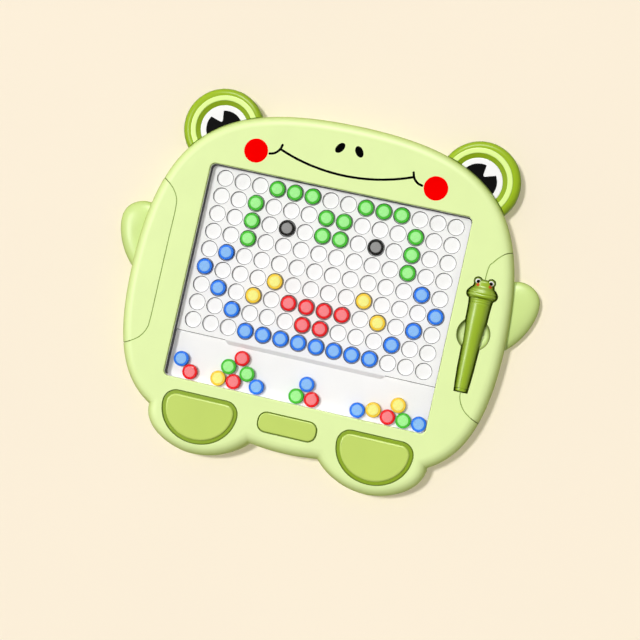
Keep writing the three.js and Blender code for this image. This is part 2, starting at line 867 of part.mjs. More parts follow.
// Beads that lie too close push each other aside, between the tray's walls and the ramp
function looseBeadPlaces() {
  const margin = beadRadius + beadGap;
  const spacing = beadDiameter + beadGap;
  const high = new THREE.Vector2(windowHalfWidth - margin, plateBottom - rampLength - margin);
  const low = new THREE.Vector2(-high.x, windowBottom + margin);
  const places = looseBeadShares.map(({ share: [across, along] }) => (
    new THREE.Vector2(across * high.x, low.y + along * (high.y - low.y))
  ));
  const rounds = places.length ** 2;
  for (let round = 0; round < rounds; round += 1) {
    places.forEach((place, index) => {
      for (const other of places.slice(0, index)) {
        const apart = place.clone().sub(other);
        const shortfall = Math.max(0, spacing - apart.length());
        apart.setLength(shortfall / 2);
        place.add(apart).clamp(low, high);
        other.sub(apart).clamp(low, high);
      }
    });
  }
  return places;
}

// Screw: a round head with a short drive recess, and a plain shank
const screwRecessShare = 0.35;
const screwRecessDepthShare = 0.5;

function screw(x, y) {
  const headRadius = screwHeadDiameter / 2;
  const recessRadius = headRadius * screwRecessShare;
  const recessTop = screwSink + screwHeadHeight * screwRecessDepthShare;
  const solid = turned([
    [0, recessTop],
    [recessRadius, recessTop],
    [recessRadius, screwSink],
    [headRadius, screwSink],
    [headRadius, headSeat],
    [screwShankDiameter / 2, headSeat],
    [screwShankDiameter / 2, headSeat + screwLength - screwShankDiameter],
    [0, headSeat + screwLength],
  ], 8);
  return solid.translate([x, y, 0]);
}

// Pen pieces
function penBarrel() {
  const outer = barrelProfile(0);
  const bore = penMagnetDiameter / 2 + clearance;
  const magnetEnd = penBarrelStart + penMagnetLength + penTipLength;
  const hollow = outer.filter(([, height]) => height > magnetEnd);
  const inner = hollow.map(([radius, height]) => [radius - penWall, height]);
  const closed = [
    [bore, penBarrelStart],
    ...outer,
    ...inner.toReversed(),
    [bore, magnetEnd],
    [bore, penBarrelStart],
  ];
  const points = closed.map(([radius, height]) => new THREE.Vector2(radius, height));
  return placedOnPenAxis(solidOf(new THREE.LatheGeometry(points, penSides)));
}

function penMagnet() {
  const low = penBarrelStart + penTipLength;
  const radius = penMagnetDiameter / 2;
  return placedOnPenAxis(penTurned([[radius, low], [radius, low + penMagnetLength]], 12));
}

function penTip() {
  const high = penBarrelStart - clearance;
  const spigot = penMagnetDiameter / 2;
  return placedOnPenAxis(penTurned([
    [penTipRadius - clearance, penTipHeight],
    [penTipRadius, penTipHeight + clearance],
    [penTipRadius, high],
    [spigot, high],
    [spigot, penBarrelStart + penTipLength / 2],
  ]));
}

function penEyePlace(side) {
  return [penX + side * penEyeSpacing / 2, penEyeY, penAxisHeight + penEyeStand];
}

function penEye(side, radius) {
  return solidOf(new THREE.SphereGeometry(radius, 12, 8)).translate(penEyePlace(side));
}

function penHead() {
  const low = penNeckY + clearance;
  const profile = headProfile(0);
  profile[0][1] = low;
  const head = penTurned(profile).scale([1, 1, penHeadFlatShare]);
  const plugEnd = low - penPlugLength;
  const plugRadius = barrelRadiusAt(plugEnd) - penWall - clearance;
  const plug = penTurned([[plugRadius, plugEnd], [plugRadius, low + overrun]]);
  const sockets = penEye(-1, penEyeRadius + clearance).add(penEye(1, penEyeRadius + clearance));
  return placedOnPenAxis(head.add(plug)).subtract(sockets);
}

// The assembly
const board = new THREE.Group();
board.name = 'magnetic_drawing_board';

const casing = new THREE.Group();
addPiece(casing, 'front_shell', frontShell(), finishes.body);
addPiece(casing, 'rear_cover', rearCover(), finishes.rear);
screwPlaces().forEach(([x, y], index) => {
  addPiece(casing, `case_screw_${index + 1}`, screw(x, y), finishes.screw);
});

const field = new THREE.Group();
addPiece(field, 'clear_screen', clearScreen(), finishes.screen);
addPiece(field, 'bead_plate', beadPlate(), finishes.plate);
addPiece(field, 'bead_tray', beadTray(), finishes.plate);

const beads = new THREE.Group();
for (const { label, places } of seatedGroups) {
  const [color] = label.split('_');
  const word = places.length > 1 ? 'beads' : 'bead';
  addPiece(beads, `${word}_${label}`, beadGroup(places), beadFinishes[color]);
}
looseBeadPlaces().forEach(({ x, y }, index) => {
  const { color } = looseBeadShares[index];
  const number = String(index + 1).padStart(2, '0');
  addPiece(beads, `loose_bead_${number}_${color}`, bead(x, y), beadFinishes[color]);
});

const trim = new THREE.Group();
const sidedPieces = [
  ['eye_housing', eyeHousing(), finishes.olive],
  ['eye_ring', eyeRing(), finishes.lime],
  ['eyeball', eyeball(), finishes.white],
  ['pupil', pupil(), finishes.black],
  ['hand', hand(), finishes.hand],
  ['foot_rim', footRim(), finishes.rim],
  ['foot_pad', footPad(), finishes.pad],
];
for (const [name, solid, material] of sidedPieces) {
  addPiece(trim, `${name}_right`, solid, material);
  addPiece(trim, `${name}_left`, mirrored(solid), material);
}
addPiece(trim, 'belly_plate', bellyPlate(), finishes.pad);

const pen = new THREE.Group();
addPiece(pen, 'pen_barrel', penBarrel(), finishes.pen);
addPiece(pen, 'pen_head', penHead(), finishes.pen);
addPiece(pen, 'pen_tip', penTip(), finishes.pen);
addPiece(pen, 'pen_magnet', penMagnet(), finishes.magnet);
addPiece(pen, 'pen_eye_right', penEye(1, penEyeRadius), finishes.white);
addPiece(pen, 'pen_eye_left', penEye(-1, penEyeRadius), finishes.white);

board.add(casing, field, beads, trim, pen);
board.position.y = (footDepth - eyeY - eyeRadius) / 2;

export default board;
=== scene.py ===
"""Looks of a frog-shaped magnetic bead drawing board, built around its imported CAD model.

Lengths are metres. +X is the board's right, +Y its top, +Z comes out of its face, and the board lies on
its back on a floor at height 0. Places on the face are counted from the middle of the field of wells.
"""

import math

import bpy
from mathutils import Matrix, Vector
from mathutils.geometry import interpolate_bezier, intersect_point_line


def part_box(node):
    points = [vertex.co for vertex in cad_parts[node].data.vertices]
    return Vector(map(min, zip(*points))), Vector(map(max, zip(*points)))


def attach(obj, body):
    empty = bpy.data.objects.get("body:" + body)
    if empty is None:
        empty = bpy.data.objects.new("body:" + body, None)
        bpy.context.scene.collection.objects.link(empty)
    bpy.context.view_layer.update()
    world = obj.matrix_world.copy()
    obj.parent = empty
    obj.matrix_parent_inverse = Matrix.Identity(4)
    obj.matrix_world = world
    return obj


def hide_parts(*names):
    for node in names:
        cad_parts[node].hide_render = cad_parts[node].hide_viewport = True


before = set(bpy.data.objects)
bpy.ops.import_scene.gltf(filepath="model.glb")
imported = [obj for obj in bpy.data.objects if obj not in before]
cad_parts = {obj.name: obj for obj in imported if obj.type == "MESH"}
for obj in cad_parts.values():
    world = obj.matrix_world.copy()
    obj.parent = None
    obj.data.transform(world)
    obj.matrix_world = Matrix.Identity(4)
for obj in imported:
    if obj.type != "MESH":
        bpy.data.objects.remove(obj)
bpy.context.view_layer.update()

MM = 0.001
TURN = 2 * math.pi
SIDES = ((-1, "left"), (1, "right"))

# Camera: the side that it stands on seen from its aim point, its distance and roll, and its lens
CAMERA_SIDE = Vector((0.1188, -0.0253, 0.9926))
AIM_POINT = Vector((5.15 * MM, -17.66 * MM, 16.6 * MM))
CAMERA_DISTANCE = 1037 * MM
CAMERA_ROLL = math.radians(12.838)
CLIP_END = 20
LENS = 84.375
SENSOR = 36.0

# Sizes that the CAD model gives
SHELL_LOW, SHELL_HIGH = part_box("front_shell")
TRAY_LOW, TRAY_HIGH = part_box("bead_tray")
PLATE_LOW, PLATE_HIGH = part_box("bead_plate")
SCREEN_LOW, SCREEN_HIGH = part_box("clear_screen")
PARTING_Z = SHELL_LOW.z
FRONT_Z = SHELL_HIGH.z
REAR_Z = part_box("rear_cover")[0].z
FLOOR_Z = PLATE_LOW.z
PLATE_Z = PLATE_HIGH.z


def middle(node):
    low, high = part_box(node)
    return (low + high) / 2


def half_size(node):
    low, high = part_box(node)
    return (high - low) / 2


# The field of wells, from two beads that sit in one row
COLUMNS, ROWS = 14, 9
BLACK_ROW, BLACK_COLUMNS = 2, (4, 9)
LEFT_BLACK, RIGHT_BLACK = middle("bead_black_left"), middle("bead_black_right")
PITCH = (RIGHT_BLACK.x - LEFT_BLACK.x) / (BLACK_COLUMNS[1] - BLACK_COLUMNS[0])
FACE_Y = LEFT_BLACK.y - ((ROWS - 1) / 2 - BLACK_ROW) * PITCH
# Wells that hold a bead, as columns and rows from the upper left
SEATED = {
    "green_left": ((2, 3), (2, 2), (2, 1), (3, 0), (4, 0), (5, 0)),
    "green_right": ((11, 3), (11, 2), (11, 1), (10, 0), (9, 0), (8, 0)),
    "green_middle": ((6, 1), (7, 1), (7, 2), (6, 2)),
    "blue": ((1, 4), (0, 5), (1, 6), (2, 7), (3, 8), (4, 8), (5, 8), (6, 8), (7, 8), (8, 8), (9, 8), (10, 8),
             (11, 7), (12, 6), (13, 5), (12, 4)),
    "yellow_left": ((4, 5), (3, 6)),
    "yellow_right": ((9, 5), (10, 6)),
    "red": ((5, 6), (6, 6), (6, 7), (7, 7), (7, 6), (8, 6)),
    "black_left": ((4, 2),),
    "black_right": ((9, 2),),
}
BEAD_RADIUS = half_size("bead_black_left").y
BEAD_HEIGHT = 2 * half_size("bead_black_left").z

# Wall and seat sizes of the case
WALL = 2.2 * MM
SKIN = 2 * MM
SEAT_GAP = 0.3 * MM
FRONT_EDGE = 8 * MM
REAR_EDGE = 3.5 * MM
PARTING_CHAMFER = 0.3 * MM
WINDOW_EDGE = 0.9 * MM
SMALL_EDGE = 0.4 * MM
TRAY_RIM = 1.8 * MM
WINDOW_CORNER = 3.5 * MM
FLANGE_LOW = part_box("eye_housing_right")[0].z
FLANGE_HIGH = PARTING_Z - SEAT_GAP
SKIN_UNDER = FRONT_Z - SKIN
OVERRUN = 1 * MM
NUDGE = 0.001 * MM

# Steps in round stretches
ARC_STEPS = 10
SMALL_STEPS = 48
LATHE_STEPS = 96
FINE_STEPS = 128
OUTLINE_STEP = 2.4 * MM
# The innermost ring of a turned face, and the most of a side that a fillet takes
CENTER_SHARE = 0.1
FILLET_SHARE = 0.49


# Colours and materials

# Sizes of the patches in which colour and gloss vary, and of the grain
MOTTLE_SIZE = 22 * MM
GLOSS_SIZE = 12 * MM
GLOSS_RANGE = 0.015
GRAIN_SIZE = 0.6 * MM
GRAIN_DEPTH = 0.02 * MM
SHEET_GLOSS = (9 * MM, 0.04, 0.09)
METAL_MOTTLE_SIZE = 1.5 * MM
METAL_GLOSS_SIZE = 0.8 * MM
METAL_GRAIN = (0.3 * MM, 0.01 * MM)
BEAD_MOTTLE_SIZE = 1.6 * MM
BEAD_GLOSS = (2.5 * MM, 0.14, 0.22)
BEAD_GRAIN = (0.5 * MM, 0.008 * MM)
# A bead's disc, where its colour turns from the disc's painted highlight to the rim, and where the painted
# shade on its side starts and ends
DISC_RADIUS = 0.68 * BEAD_RADIUS
DISC_BLEND = (DISC_RADIUS - 0.15 * MM, DISC_RADIUS + 0.25 * MM)
SIDE_SHADE_BLEND = (0.9 * BEAD_RADIUS, BEAD_RADIUS)


def srgb(color):
    """A colour written in sRGB bytes, as linear light."""
    shares = [byte / 255 for byte in color]
    linear = [share / 12.92 if share <= 0.04045 else ((share + 0.055) / 1.055) ** 2.4 for share in shares]
    return (*linear, 1.0)


def scaled(color, factor):
    return tuple(min(1.0, channel * factor) for channel in color[:3]) + (1.0,)


class Graph:
    """The nodes of a material or a world, with the few moves that are shared here."""

    def __init__(self, owner):
        owner.use_nodes = True
        self.owner = owner
        self.nodes = owner.node_tree.nodes
        self.links = owner.node_tree.links

    def feed(self, node, inputs):
        """Each input takes a number or a colour, or a link from another node's output."""
        for name, value in inputs.items():
            if isinstance(value, bpy.types.NodeSocket):
                self.links.new(value, node.inputs[name])
            else:
                node.inputs[name].default_value = value

    def node(self, kind, output, inputs=None, **settings):
        """An output of a new node that has these inputs and settings."""
        made = self.nodes.new(kind)
        for name, value in settings.items():
            setattr(made, name, value)
        self.feed(made, inputs or {})
        return made.outputs[output]

    def noise(self, size, detail=2.0):
        """A noise pattern whose patches are about that size."""
        place = self.node("ShaderNodeTexCoord", "Object")
        return self.node("ShaderNodeTexNoise", "Fac", {"Vector": place, "Scale": 1 / size, "Detail": detail})

    def spread(self, source, low, high, start=0.35, end=0.65):
        """A pattern's range, start to end, spread over low to high."""
        return self.node("ShaderNodeMapRange", "Result", {
            "Value": source, "From Min": start, "From Max": end, "To Min": low, "To Max": high,
        })

    def patches(self, size, low, high):
        """A value that varies from low to high in patches of about that size."""
        return self.spread(self.noise(size), low, high)

    def blend(self, share, low_color, high_color):
        inputs = {"Factor": share, "A": low_color, "B": high_color}
        return self.node("ShaderNodeMix", "Result", inputs, data_type="RGBA")

    def mottled(self, size, color, low, high):
        """A colour that varies in patches, from low to high times as bright."""
        return self.blend(self.patches(size, 0, 1), scaled(color, low), scaled(color, high))

    def turned(self, start, reach):
        """How far the surface has turned from level to upright, as a share."""
        normal = self.node("ShaderNodeTexCoord", "Normal")
        upright = self.node("ShaderNodeSeparateXYZ", "Z", {"Vector": normal})
        level = self.node("ShaderNodeMath", "Value", {0: upright}, operation="ABSOLUTE")
        return self.spread(level, 1, 0, 1 - reach, 1 - start)

    def surface(self, color, gloss, grain, shine, metallic=0.0):
        """Fills the main shader. Gloss is a patch size and two roughnesses, grain a size and a depth."""
        size, depth = grain
        bump = self.node("ShaderNodeBump", "Normal", {"Height": self.noise(size, 3.0), "Distance": depth})
        self.feed(self.nodes["Principled BSDF"], {
            "Base Color": color, "Roughness": self.patches(*gloss), "Normal": bump,
            "Specular IOR Level": shine, "Metallic": metallic,
        })
        return self.owner


def moulded(name, color, roughness=0.35, grain=GRAIN_DEPTH, mottle=0.012, edge_shade=None, shine=0.4,
            turn=(0.1, 0.75)):
    """Moulded plastic: a faint unevenness of colour and gloss, the fine grain of its mould, and, with an
    edge shade colour, painted shade where the surface turns from level to upright."""
    graph = Graph(bpy.data.materials.new(name))
    base = graph.mottled(MOTTLE_SIZE, srgb(color), 1 - mottle, 1 + mottle)
    # Painted shade: the colour darkens towards the edge shade colour as the surface turns from level to
    # upright, standing in for the shade on round edges.
    if edge_shade:
        base = graph.blend(graph.turned(*turn), base, srgb(edge_shade))
    gloss = (GLOSS_SIZE, roughness - GLOSS_RANGE, roughness + GLOSS_RANGE)
    return graph.surface(base, gloss, (GRAIN_SIZE, grain), shine)


def bead_plastic(name, rim_color, disc_highlight_color):
    """A bead's plastic: a paler disc on its top, a painted highlight, a strong colour round its rim, and
    painted shade on its side.
    """
    graph = Graph(bpy.data.materials.new(name))
    place = graph.node("ShaderNodeTexCoord", "Object")
    flat = graph.node("ShaderNodeVectorMath", "Vector", {0: place, 1: (1, 1, 0)}, operation="MULTIPLY")
    radius = graph.node("ShaderNodeVectorMath", "Value", {0: flat}, operation="LENGTH")
    rim = srgb(rim_color)
    disc = graph.mottled(BEAD_MOTTLE_SIZE, srgb(disc_highlight_color), 0.94, 1.03)
    # Painted highlight: the disc on the bead's flat top is paler than its rim.
    top = graph.blend(graph.spread(radius, 0, 1, *DISC_BLEND), disc, rim)
    # Painted shade: the side darkens to half the rim's colour.
    whole = graph.blend(graph.spread(radius, 0, 1, *SIDE_SHADE_BLEND), top, scaled(rim, 0.5))
    return graph.surface(whole, BEAD_GLOSS, BEAD_GRAIN, 0.12)


def metal(name, color, roughness):
    graph = Graph(bpy.data.materials.new(name))
    base = graph.mottled(METAL_MOTTLE_SIZE, srgb(color), 0.9, 1)
    gloss = (METAL_GLOSS_SIZE, roughness - 0.08, roughness + 0.08)
    return graph.surface(base, gloss, METAL_GRAIN, 0.5, metallic=1.0)


def clear_sheet(name):
    """Clear sheet: what lies behind shows, and more is mirrored the flatter it is seen."""
    graph = Graph(bpy.data.materials.new(name))
    facing = graph.node("ShaderNodeLayerWeight", "Facing", {"Blend": 0.5})
    steep = graph.node("ShaderNodeMath", "Value", {0: facing, 1: 5}, operation="POWER")
    mixed = graph.node("ShaderNodeMixShader", "Shader", {
        "Fac": graph.spread(steep, 0.004, 0.9, 0, 1),
        1: graph.node("ShaderNodeBsdfTransparent", "BSDF"),
        2: graph.node("ShaderNodeBsdfGlossy", "BSDF", {"Roughness": graph.patches(*SHEET_GLOSS)}),
    })
    graph.feed(graph.nodes["Material Output"], {"Surface": mixed})
    graph.nodes.remove(graph.nodes["Principled BSDF"])
    return graph.owner


# BODY, REAR, OLIVE, HAND, RIM and PEN carry painted shade on their round edges through their edge shade
# colour.
BODY = moulded("body_green", (229, 248, 174), 0.44, edge_shade=(160, 182, 80), shine=0.2, turn=(0.06, 0.66))
# Painted shade in the seam grooves, a darker one where they run over the round edge.
SEAM_SHADE = moulded("seam_painted_shade", (152, 178, 92), 0.5, shine=0.1)
EDGE_SEAM_SHADE = moulded("edge_seam_painted_shade", (104, 126, 46), 0.5, shine=0.1)
# Painted shade on the walls of the foot and belly pockets.
POCKET_SHADE = moulded("pocket_olive_shade", (100, 124, 6), 0.5)
# Painted shade on the upper wall of the finger scoop.
SCOOP_EDGE_SHADE = moulded("scoop_edge_painted_shade", (112, 128, 48), 0.5)
# Painted shade in the pen's slot and the rooms of its eyes.
SLOT_SHADE = moulded("slot_painted_shade", (78, 94, 26), 0.6, shine=0.1)
# Painted shade on a dark grey liner along the window's walls.
SHADE_LINER = moulded("liner_painted_shade", (76, 76, 80), 0.6, shine=0.1)
REAR = moulded("rear_green", (214, 234, 150), 0.5, 0.05 * MM, edge_shade=(164, 184, 88))
PLATE = moulded("plate_white", (249, 249, 249), 0.5, shine=0.1)
# Painted shade in the wells: grey walls, a dark line round the mouths of empty wells and along the plate's
# lower step, and a dark ring round the mouths of filled wells.
WELL_WALL_SHADE = moulded("well_wall_painted_shade", (216, 216, 218), 0.5)
WELL_LINE_SHADE = moulded("well_line_painted_shade", (56, 56, 60), 0.5, shine=0.1)
WELL_SHADE = moulded("well_shade", (64, 66, 64), 0.6)
# Painted shade: a darker copy of the olive for the eye's sunken funnel.
FUNNEL_SHADE = moulded("funnel_olive_shade", (142, 172, 22), 0.6, shine=0.1)
# Painted shade: a light grey on the ramp's downward slope.
RAMP = moulded("ramp_painted_shade", (238, 238, 240), 0.45)
OLIVE = moulded("olive", (158, 190, 35), 0.3, edge_shade=(112, 140, 10), shine=0.12)
LIME = moulded("lime", (228, 254, 150), 0.35)
WHITE = moulded("eye_white", (250, 250, 250), 0.3)
BLACK = moulded("black", (3, 3, 3), 0.3, mottle=0.1, shine=0.05)
HAND = moulded("hand_green", (210, 232, 147), 0.34, edge_shade=(148, 172, 68), shine=0.2, turn=(0.03, 0.6))
RIM = moulded("rim_olive", (134, 162, 20), 0.4, edge_shade=(104, 128, 6))
PAD = moulded("pad_green", (196, 219, 106), 0.3, 0.006 * MM, shine=0.35)
PEN = moulded("pen_olive", (152, 184, 26), 0.36, edge_shade=(88, 110, 6), shine=0.45, turn=(0.05, 0.65))
SPOT = moulded("spot_orange", (200, 88, 34), 0.5, shine=0.05)
CHEEK = moulded("print_red", (254, 0, 0), 0.5, shine=0)
PRINT_BLACK = moulded("print_black", (6, 6, 6), 0.5, mottle=0.1, shine=0)
SCREEN = clear_sheet("clear_screen")
STEEL = metal("screw_steel", (176, 178, 182), 0.3)
NICKEL = metal("magnet_nickel", (160, 162, 166), 0.3)
# Each bead's rim colour, and the paler colour of its disc, which is a painted highlight
BEADS = {
    "green": bead_plastic("bead_green", (72, 198, 52), (168, 250, 154)),
    "blue": bead_plastic("bead_blue", (42, 126, 248), (142, 194, 253)),
    "red": bead_plastic("bead_red", (240, 24, 32), (252, 136, 142)),
    "yellow": bead_plastic("bead_yellow", (254, 212, 62), (254, 248, 142)),
    "black": bead_plastic("bead_black", (18, 18, 18), (150, 150, 150)),
}


# Outlines, as lists of plane points that run counter-clockwise

def face(x, y):
    """A place on the face, in millimetres from the middle of the field of wells."""
    return Vector((x * MM, FACE_Y + y * MM))


def arc(center, radius_x, radius_y, start, end, steps=ARC_STEPS):
    """Points of an arc between two angles in degrees, both ends included."""
    points = []
    for step in range(steps + 1):
        angle = math.radians(start + (end - start) * step / steps)
        points.append(center + Vector((radius_x * math.cos(angle), radius_y * math.sin(angle))))
    return points


def circle(center, radius, steps):
    return arc(center, radius, radius, 0, 360, steps)[:-1]


def rounded_rectangle(low, high, radius):
    left, right = low.x + radius, high.x - radius
    foot, top = low.y + radius, high.y - radius
    outline = []
    for x, y, start in ((right, foot, -90), (right, top, 0), (left, top, 90), (left, foot, 180)):
        outline += arc(Vector((x, y)), radius, radius, start, start + 90)
    return outline


def curve_chain(start, rows, place):
    """Points along cubic curves that follow one another. Each row holds two handles and an end."""
    points = [place(start)]
    for row in rows:
        knots = [points[-1].to_3d(), *(place(share).to_3d() for share in row)]
        steps = max(6, math.ceil((knots[3] - knots[0]).length / OUTLINE_STEP))
        points += [point.to_2d() for point in interpolate_bezier(*knots, steps + 1)][1:]
    return points


def smooth_line(points, steps=6):
    """A smooth line through all the points."""
    line = []
    last = len(points) - 1
    for index in range(last):
        a, b, c, d = (Vector(points[min(max(i, 0), last)]) for i in range(index - 1, index + 3))
        for step in range(steps):
            t = step / steps
            line.append(0.5 * (2 * b + (c - a) * t + (2 * a - 5 * b + 4 * c - d) * t ** 2
                               + (3 * b - a - 3 * c + d) * t ** 3))
    line.append(Vector(points[-1]))
    return line


def inset(outline, distance):
    """An outline moved inwards all round."""
    moved = []
    for index, point in enumerate(outline):
        arriving = (point - outline[index - 1]).normalized()
        leaving = (outline[(index + 1) % len(outline)] - point).normalized()
        inward = Vector((-(arriving.y + leaving.y), arriving.x + leaving.x))
        moved.append(point + inward * (2 * distance / inward.length_squared))
    return moved


def stroke(line, width):
    """The outline of a stroke with round ends along a line."""
    half = width / 2
    sides = []
    for points in (line, line[::-1]):
        for here, there in zip(points, points[1:]):
            heading = (there - here).normalized()
            sides.append(here + half * Vector((heading.y, -heading.x)))
        towards = math.degrees(math.atan2(heading.y, heading.x))
        sides += arc(points[-1], half, half, towards - 90, towards + 90, 6)[:-1]
    return sides


def depth_inside(point, outline):
    """How far a point lies inside an outline, below zero outside it."""
    gaps = []
    crossings = 0
    for index, end in enumerate(outline):
        start = outline[index - 1]
        share = intersect_point_line(point, start, end)[1]
        gaps.append((point - start.lerp(end, min(max(share, 0), 1))).length)
        if (start.y > point.y) != (end.y > point.y):
            crossings += point.x < start.x + (point.y - start.y) / (end.y - start.y) * (end.x - start.x)
    return min(gaps) if crossings % 2 else -min(gaps)


# Profiles, as rows of an inset or radius and a height

def quarter_round(radius, top, start=0.0, steps=ARC_STEPS):
    """Rows from an upright side at the inset start, over a round edge, to a flat top."""
    rows = []
    for step in range(steps + 1):
        angle = TURN / 4 * step / steps
        rows.append((start + radius * (1 - math.cos(angle)), top - radius + radius * math.sin(angle)))
    return rows


def round_foot(radius, low, steps=ARC_STEPS):
    """Rows from a flat foot at height low, over a round edge, to an upright side at the inset 0."""
    return [(across, low - height) for across, height in reversed(quarter_round(radius, 0, steps=steps))]


def filleted(corners, closed=False, steps=4):
    """Rows through corners, each given as (inset or radius, height, corner radius)."""
    rows = []
    last = len(corners) - 1
    for index, (across, height, radius) in enumerate(corners):
        corner = Vector((across, height))
        if radius == 0 or (not closed and index in (0, last)):
            rows.append(corner)
            continue
        before = Vector(corners[index - 1][:2]) - corner
        after = Vector(corners[(index + 1) % len(corners)][:2]) - corner
        limit = FILLET_SHARE * min(before.length, after.length)
        reach = min(radius / math.tan(before.angle(after) / 2), limit)
        first = corner + before.normalized() * reach
        end = corner + after.normalized() * reach
        for step in range(steps + 1):
            t = step / steps
            rows.append(first.lerp(corner, t).lerp(corner.lerp(end, t), t))
    return [tuple(row) for row in rows]


# Solids

def add(name, data):
    """A new object in the scene."""
    made = bpy.data.objects.new(name, data)
    bpy.context.scene.collection.objects.link(made)
    return made


def solid(name, points, faces):
    mesh = bpy.data.meshes.new(name)
    mesh.from_pydata(points, [], faces)
    mesh.update()
    return add(name, mesh)


def skin(name, rings, closed=False):
    """A solid through rings of points, capped at both ends, or closed on itself."""
    count = len(rings[0])
    faces = []
    for ring in range(len(rings) if closed else len(rings) - 1):
        low, high = ring * count, (ring + 1) % len(rings) * count
        for index in range(count):
            following = (index + 1) % count
            faces.append((low + index, low + following, high + following, high + index))
    if not closed:
        top = (len(rings) - 1) * count
        faces += [tuple(reversed(range(count))), tuple(range(top, top + count))]
    return solid(name, [point for ring in rings for point in ring], faces)


def loft(name, outline, profile, closed=False):
    """A solid whose rings are an outline, drawn in by an inset at each height."""
    return skin(name, [[p.to_3d() + Vector((0, 0, height)) for p in inset(outline, across)]
                       for across, height in profile], closed)


def prism(name, outline, low, high):
    return loft(name, outline, [(0, low), (0, high)])


def box(name, low, high):
    corners = ((low.x, low.y), (high.x, low.y), (high.x, high.y), (low.x, high.y))
    return prism(name, [Vector(corner) for corner in corners], low.z, high.z)


def turned(name, rows, place, closed, steps):
    """A solid turned about an axis, from rows of radius and place along it. Its points come from place."""
    angles = [TURN * step / steps for step in range(steps)]
    return skin(name, [[Vector(place(radius * math.cos(angle), radius * math.sin(angle), along))
                        for angle in angles] for radius, along in rows], closed)


def lathe(name, rows, center, closed=False, steps=LATHE_STEPS):
    """A solid turned about an upright axis, from rows of radius and height."""
    return turned(name, rows, lambda x, y, height: (center.x + x, center.y + y, height), closed, steps)


def rod(name, radius, low, high, center, steps=32):
    return lathe(name, [(radius, low), (radius, high)], center, steps=steps)


def sphere(name, center, radius):
    count = SMALL_STEPS // 2
    angles = [math.radians(-90 + 180 * step / count) for step in range(1, count)]
    rows = [(radius * math.cos(angle), center.z + radius * math.sin(angle)) for angle in angles]
    return lathe(name, rows, center, steps=SMALL_STEPS)


def flared(name, outline, low, rim, radius):
    """A cutter that leaves a round edge where it comes out at height rim."""
    mouth = [(-across, height + NUDGE) for across, height in quarter_round(radius, rim, steps=6)]
    return loft(name, outline, [(0, low), *mouth, (-radius, rim + OVERRUN)])


def boolean(piece, tools, operation):
    for tool in tools:
        modifier = piece.modifiers.new(operation, "BOOLEAN")
        modifier.operation = operation
        modifier.object = tool
        modifier.solver = "MANIFOLD"
        modifier.material_mode = "TRANSFER"
        graph = bpy.context.evaluated_depsgraph_get()
        mesh = bpy.data.meshes.new_from_object(piece.evaluated_get(graph))
        piece.modifiers.clear()
        mesh.name = piece.name
        piece.data = mesh
        bpy.data.objects.remove(tool)
    return piece


def cut(piece, *tools):
    return boolean(piece, tools, "DIFFERENCE")


def join(piece, *tools):
    return boolean(piece, tools, "UNION")


def tinted(piece, *materials):
    for material in materials:
        piece.data.materials.append(material)
    return piece


def mirrored(piece, name):
    """The same piece on the board's other side."""
    mesh = piece.data.copy()
    mesh.transform(Matrix.Scale(-1, 4, (1, 0, 0)))
    mesh.flip_normals()
    return add(name, mesh)


def smooth(mesh, angle):
    """Smooth shading that keeps edges sharper than an angle."""
    mesh.polygons.foreach_set("use_smooth", [True] * len(mesh.polygons))
    mesh.set_sharp_from_angle(angle=math.radians(angle))


def assign(piece, body, nodes):
    """Gives a piece its body and hides the CAD nodes that it stands for."""
    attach(piece, body)
    if nodes:
        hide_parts(*nodes)


def dress(piece, slot, *nodes, body="board", angle=35):
    """Finishes a piece, with flat faces kept flat beside its smooth ones."""
    smooth(piece.data, angle)
    modifier = piece.modifiers.new("even_normals", "WEIGHTED_NORMAL")
    modifier.keep_sharp = True
    assign(piece, body, nodes)


def both_sides(piece, node, slot):
    """Dresses a right piece and a mirrored left one, which stand for the node of their side."""
    twin = mirrored(piece, f"{node}_look_left")
    piece.name = f"{node}_look_right"
    dress(piece, slot, f"{node}_right")
    dress(twin, slot, f"{node}_left")


# Case outline: the right half from the crown to the middle of the lower edge, as shares
BODY_CURVE_SHARES = (
    ((0.68, 1), (1, 0.745), (1, -0.155)),
    ((1, -0.509), (0.925, -0.713), (0.745, -0.808)),
    ((0.75, -0.935), (0.57, -1), (0.465, -1)),
    ((0.38, -1), (0.27, -0.975), (0.183, -0.887)),
    ((0.12, -0.894), (0.06, -0.899), (0, -0.899)),
)


def body_point(share):
    """A place from shares of the half width and of the crown's height, or below zero of the feet's depth."""
    rise = SHELL_HIGH.y - FACE_Y if share[1] > 0 else FACE_Y - SHELL_LOW.y
    return Vector((share[0] * SHELL_HIGH.x, FACE_Y + share[1] * rise))


def body_outline():
    right = curve_chain((0, 1), BODY_CURVE_SHARES, body_point)
    left = [Vector((-point.x, point.y)) for point in right]
    return left + right[-2:0:-1]


BODY_OUTLINE = body_outline()


def casing_guard(low, high):
    """What the pieces beside the case stay clear of."""
    return prism("casing_guard", inset(BODY_OUTLINE, -SEAT_GAP), low, high)


def window_outline(grow=0.0):
    rim = Vector((TRAY_RIM - grow, TRAY_RIM - grow))
    return rounded_rectangle(TRAY_LOW.to_2d() + rim, TRAY_HIGH.to_2d() - rim, WINDOW_CORNER + grow)


# Foot pads: a flat top with round corners over half an ellipse
PAD_CORNER = 9.3 * MM
PAD_RIM_WIDTH = 2.5 * MM


